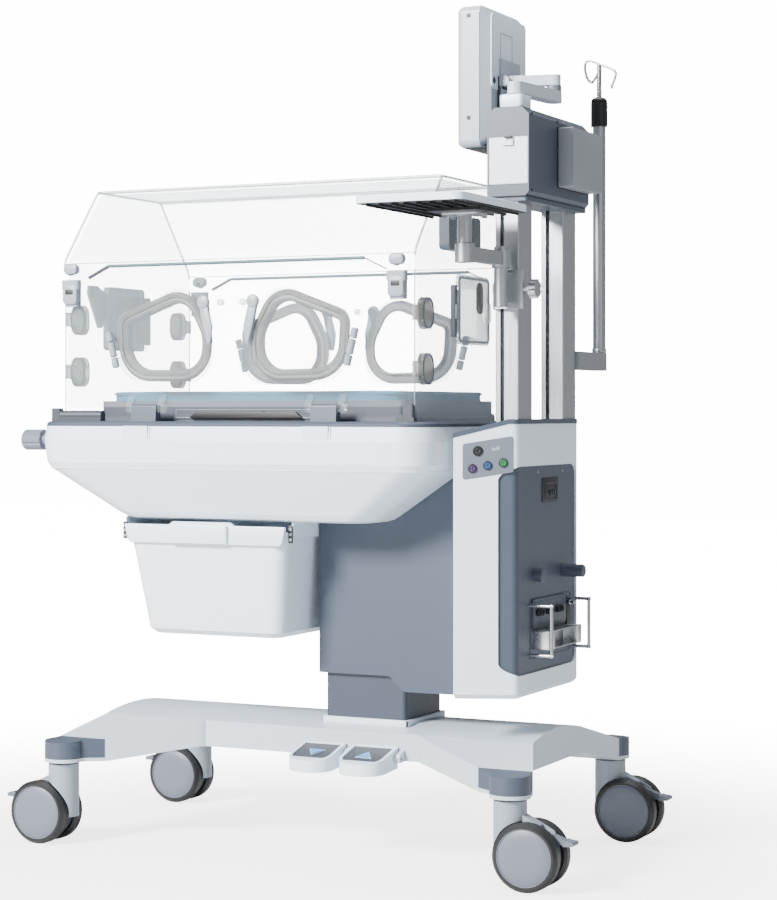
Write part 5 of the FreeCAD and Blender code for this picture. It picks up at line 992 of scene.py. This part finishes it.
def dress_hatches():
    """Frame, capsule, hinge bar and clasp of the right hatch; rim and knob of the left one."""
    line = rounded(box_corners(-56.0, 92.0, 995.0, 1118.0, 9.0))
    bead("hatch_frame", [at(285.6, p.x, p.y) for p in line], 2.6, "hatch_right_body", M["light"])
    plate("hatch_capsule", box_corners(28.0, 58.0, 1050.0, 1112.0, 14.9), "x", 285.4, 289.4,
          "hatch_right_body", M["gasket"], 1.5)
    plate("hatch_bar", box_corners(-88.0, -77.5, 1002.0, 1102.0, 3.0), "x", 280.4, 291.0, "lift",
          M["tray"], 1.5)
    plate("hatch_clasp", box_corners(-89.0, -77.0, 1036.0, 1064.0, 3.0), "x", 290.6, 294.0, "lift",
          M["light"], 1.0)
    rim = rounded(box_corners(-79.0, 58.0, 990.0, 1113.0, 8.0))
    bead("hatch_left_rim", [at(-501.4, p.x, p.y) for p in rim], 1.6, "hatch_left_body",
         M["gasket"])
    knob = [(0.0, 11.0), (8.0, 12.0), (12.0, 9.0), (13.0, 4.0)]
    revolve("hatch_left_knob", knob, at(-493.0, -132.0, 1104.0), (-1, 0, 0), "hatch_left_body",
            M["light"], 24)


def dress_column():
    """Cover over the foot of the column."""
    x0, x1, y0, y1, foot, _ = room("inner_column")
    outline = box_corners(x0 - 0.4, x1 + 0.4, y0 - 0.4, y1 + 0.4, 6.0)
    plate("column_foot_cover", outline, "z", foot - 0.4, foot + 12.4, "chassis", M["shell"],
          1.5)


# Camera, light, floor

def build_stage():
    """Pale floor that takes soft shadows near the object and turns into white paper further out."""
    made = bmesh.new()
    bmesh.ops.create_grid(made, x_segments=2, y_segments=2, size=14.0)
    mesh = open_mesh("floor", made)
    floor = bpy.data.objects.new("floor", mesh)
    floor.location = (0, 0, -0.0005)
    bpy.context.scene.collection.objects.link(floor)
    paper, tree, shader = new_material("floor paper")
    shader.inputs["Base Color"].default_value = (*FLOOR, 1)
    shader.inputs["Roughness"].default_value = 0.75
    shader.inputs["Emission Color"].default_value = (1, 1, 1, 1)
    seen = tree.nodes.new("ShaderNodeLightPath")
    place = tree.nodes.new("ShaderNodeTexCoord")
    reach = tree.nodes.new("ShaderNodeVectorMath")
    reach.operation = "LENGTH"
    far = tree.nodes.new("ShaderNodeMapRange")
    far.interpolation_type = "SMOOTHSTEP"
    far.inputs["From Min"].default_value = 0.6
    far.inputs["From Max"].default_value = 2.4
    far.inputs["To Min"].default_value = NEAR_GLOW
    far.inputs["To Max"].default_value = FLOOR_GLOW
    glow = tree.nodes.new("ShaderNodeMix")
    glow.inputs["A"].default_value = SURROUND * 0.3
    tree.links.new(place.outputs["Object"], reach.inputs[0])
    tree.links.new(reach.outputs["Value"], far.inputs["Value"])
    tree.links.new(seen.outputs["Is Camera Ray"], glow.inputs["Factor"])
    tree.links.new(far.outputs["Result"], glow.inputs["B"])
    tree.links.new(glow.outputs["Result"], shader.inputs["Emission Strength"])
    mesh.materials.append(paper)


def build_camera():
    """Camera that sees the object as the photograph does."""
    camera = bpy.data.cameras.new("view")
    camera.sensor_width = SENSOR
    camera.lens = FOCAL_LENGTH * SENSOR / PHOTO_HEIGHT
    camera.shift_x = SHIFT[0] / PHOTO_HEIGHT
    camera.shift_y = SHIFT[1] / PHOTO_HEIGHT
    camera.clip_end = 60.0
    holder = bpy.data.objects.new("view", camera)
    holder.location = at(*CAMERA_PLACE)
    holder.rotation_euler = (math.radians(90.0), 0, math.radians(CAMERA_TURN))
    bpy.context.scene.collection.objects.link(holder)
    bpy.context.scene.camera = holder


def area_light(name, place, target, size, power, color):
    """Square lamp that faces a point."""
    light = bpy.data.lights.new(name, "AREA")
    light.shape = "RECTANGLE"
    light.size = size
    light.size_y = size
    light.energy = power
    light.color = color
    holder = bpy.data.objects.new(name, light)
    holder.location = place
    holder.rotation_euler = (Vector(target) - Vector(place)).to_track_quat("-Z", "Y").to_euler()
    bpy.context.scene.collection.objects.link(holder)


def build_light():
    """White paper seen behind the object; a dimmer surround lights it and shows in reflections."""
    world = bpy.data.worlds.new("studio")
    world.use_nodes = True
    nodes, links = world.node_tree.nodes, world.node_tree.links
    back = nodes["Background"]
    back.inputs["Color"].default_value = (0.96, 0.98, 1.0, 1)
    seen = nodes.new("ShaderNodeLightPath")
    strength = nodes.new("ShaderNodeMapRange")
    strength.inputs["To Min"].default_value = SURROUND
    strength.inputs["To Max"].default_value = BACKDROP
    links.new(seen.outputs["Is Camera Ray"], strength.inputs["Value"])
    links.new(strength.outputs["Result"], back.inputs["Strength"])
    bpy.context.scene.world = world
    area_light("key", (-1.7, -4.3, 3.3), (0, 0, 0.9), 1.3, KEY_POWER, (1.0, 0.99, 0.97))
    area_light("fill", (3.8, -2.4, 2.0), (0, 0, 0.9), 2.6, FILL_POWER, (0.94, 0.97, 1.0))
    area_light("top", (0.2, 0.8, 4.4), (0, 0, 0.8), 2.0, TOP_POWER, (1.0, 1.0, 1.0))


build_camera()
build_light()
build_stage()
dress_nodes()
for end in PORTS:
    dress_port(end)
for side in SIDE_NAME:
    dress_panel(side)
dress_hood()
dress_grommets()
dress_controls()
dress_side_panel()
dress_head()
dress_monitor()
dress_shelf()
dress_pole()
for tag, tip in ARROWS:
    dress_pedal(tag, tip)
soft_mattress()
dress_tub()
dress_drawer()
dress_xray()
dress_hatches()
dress_column()
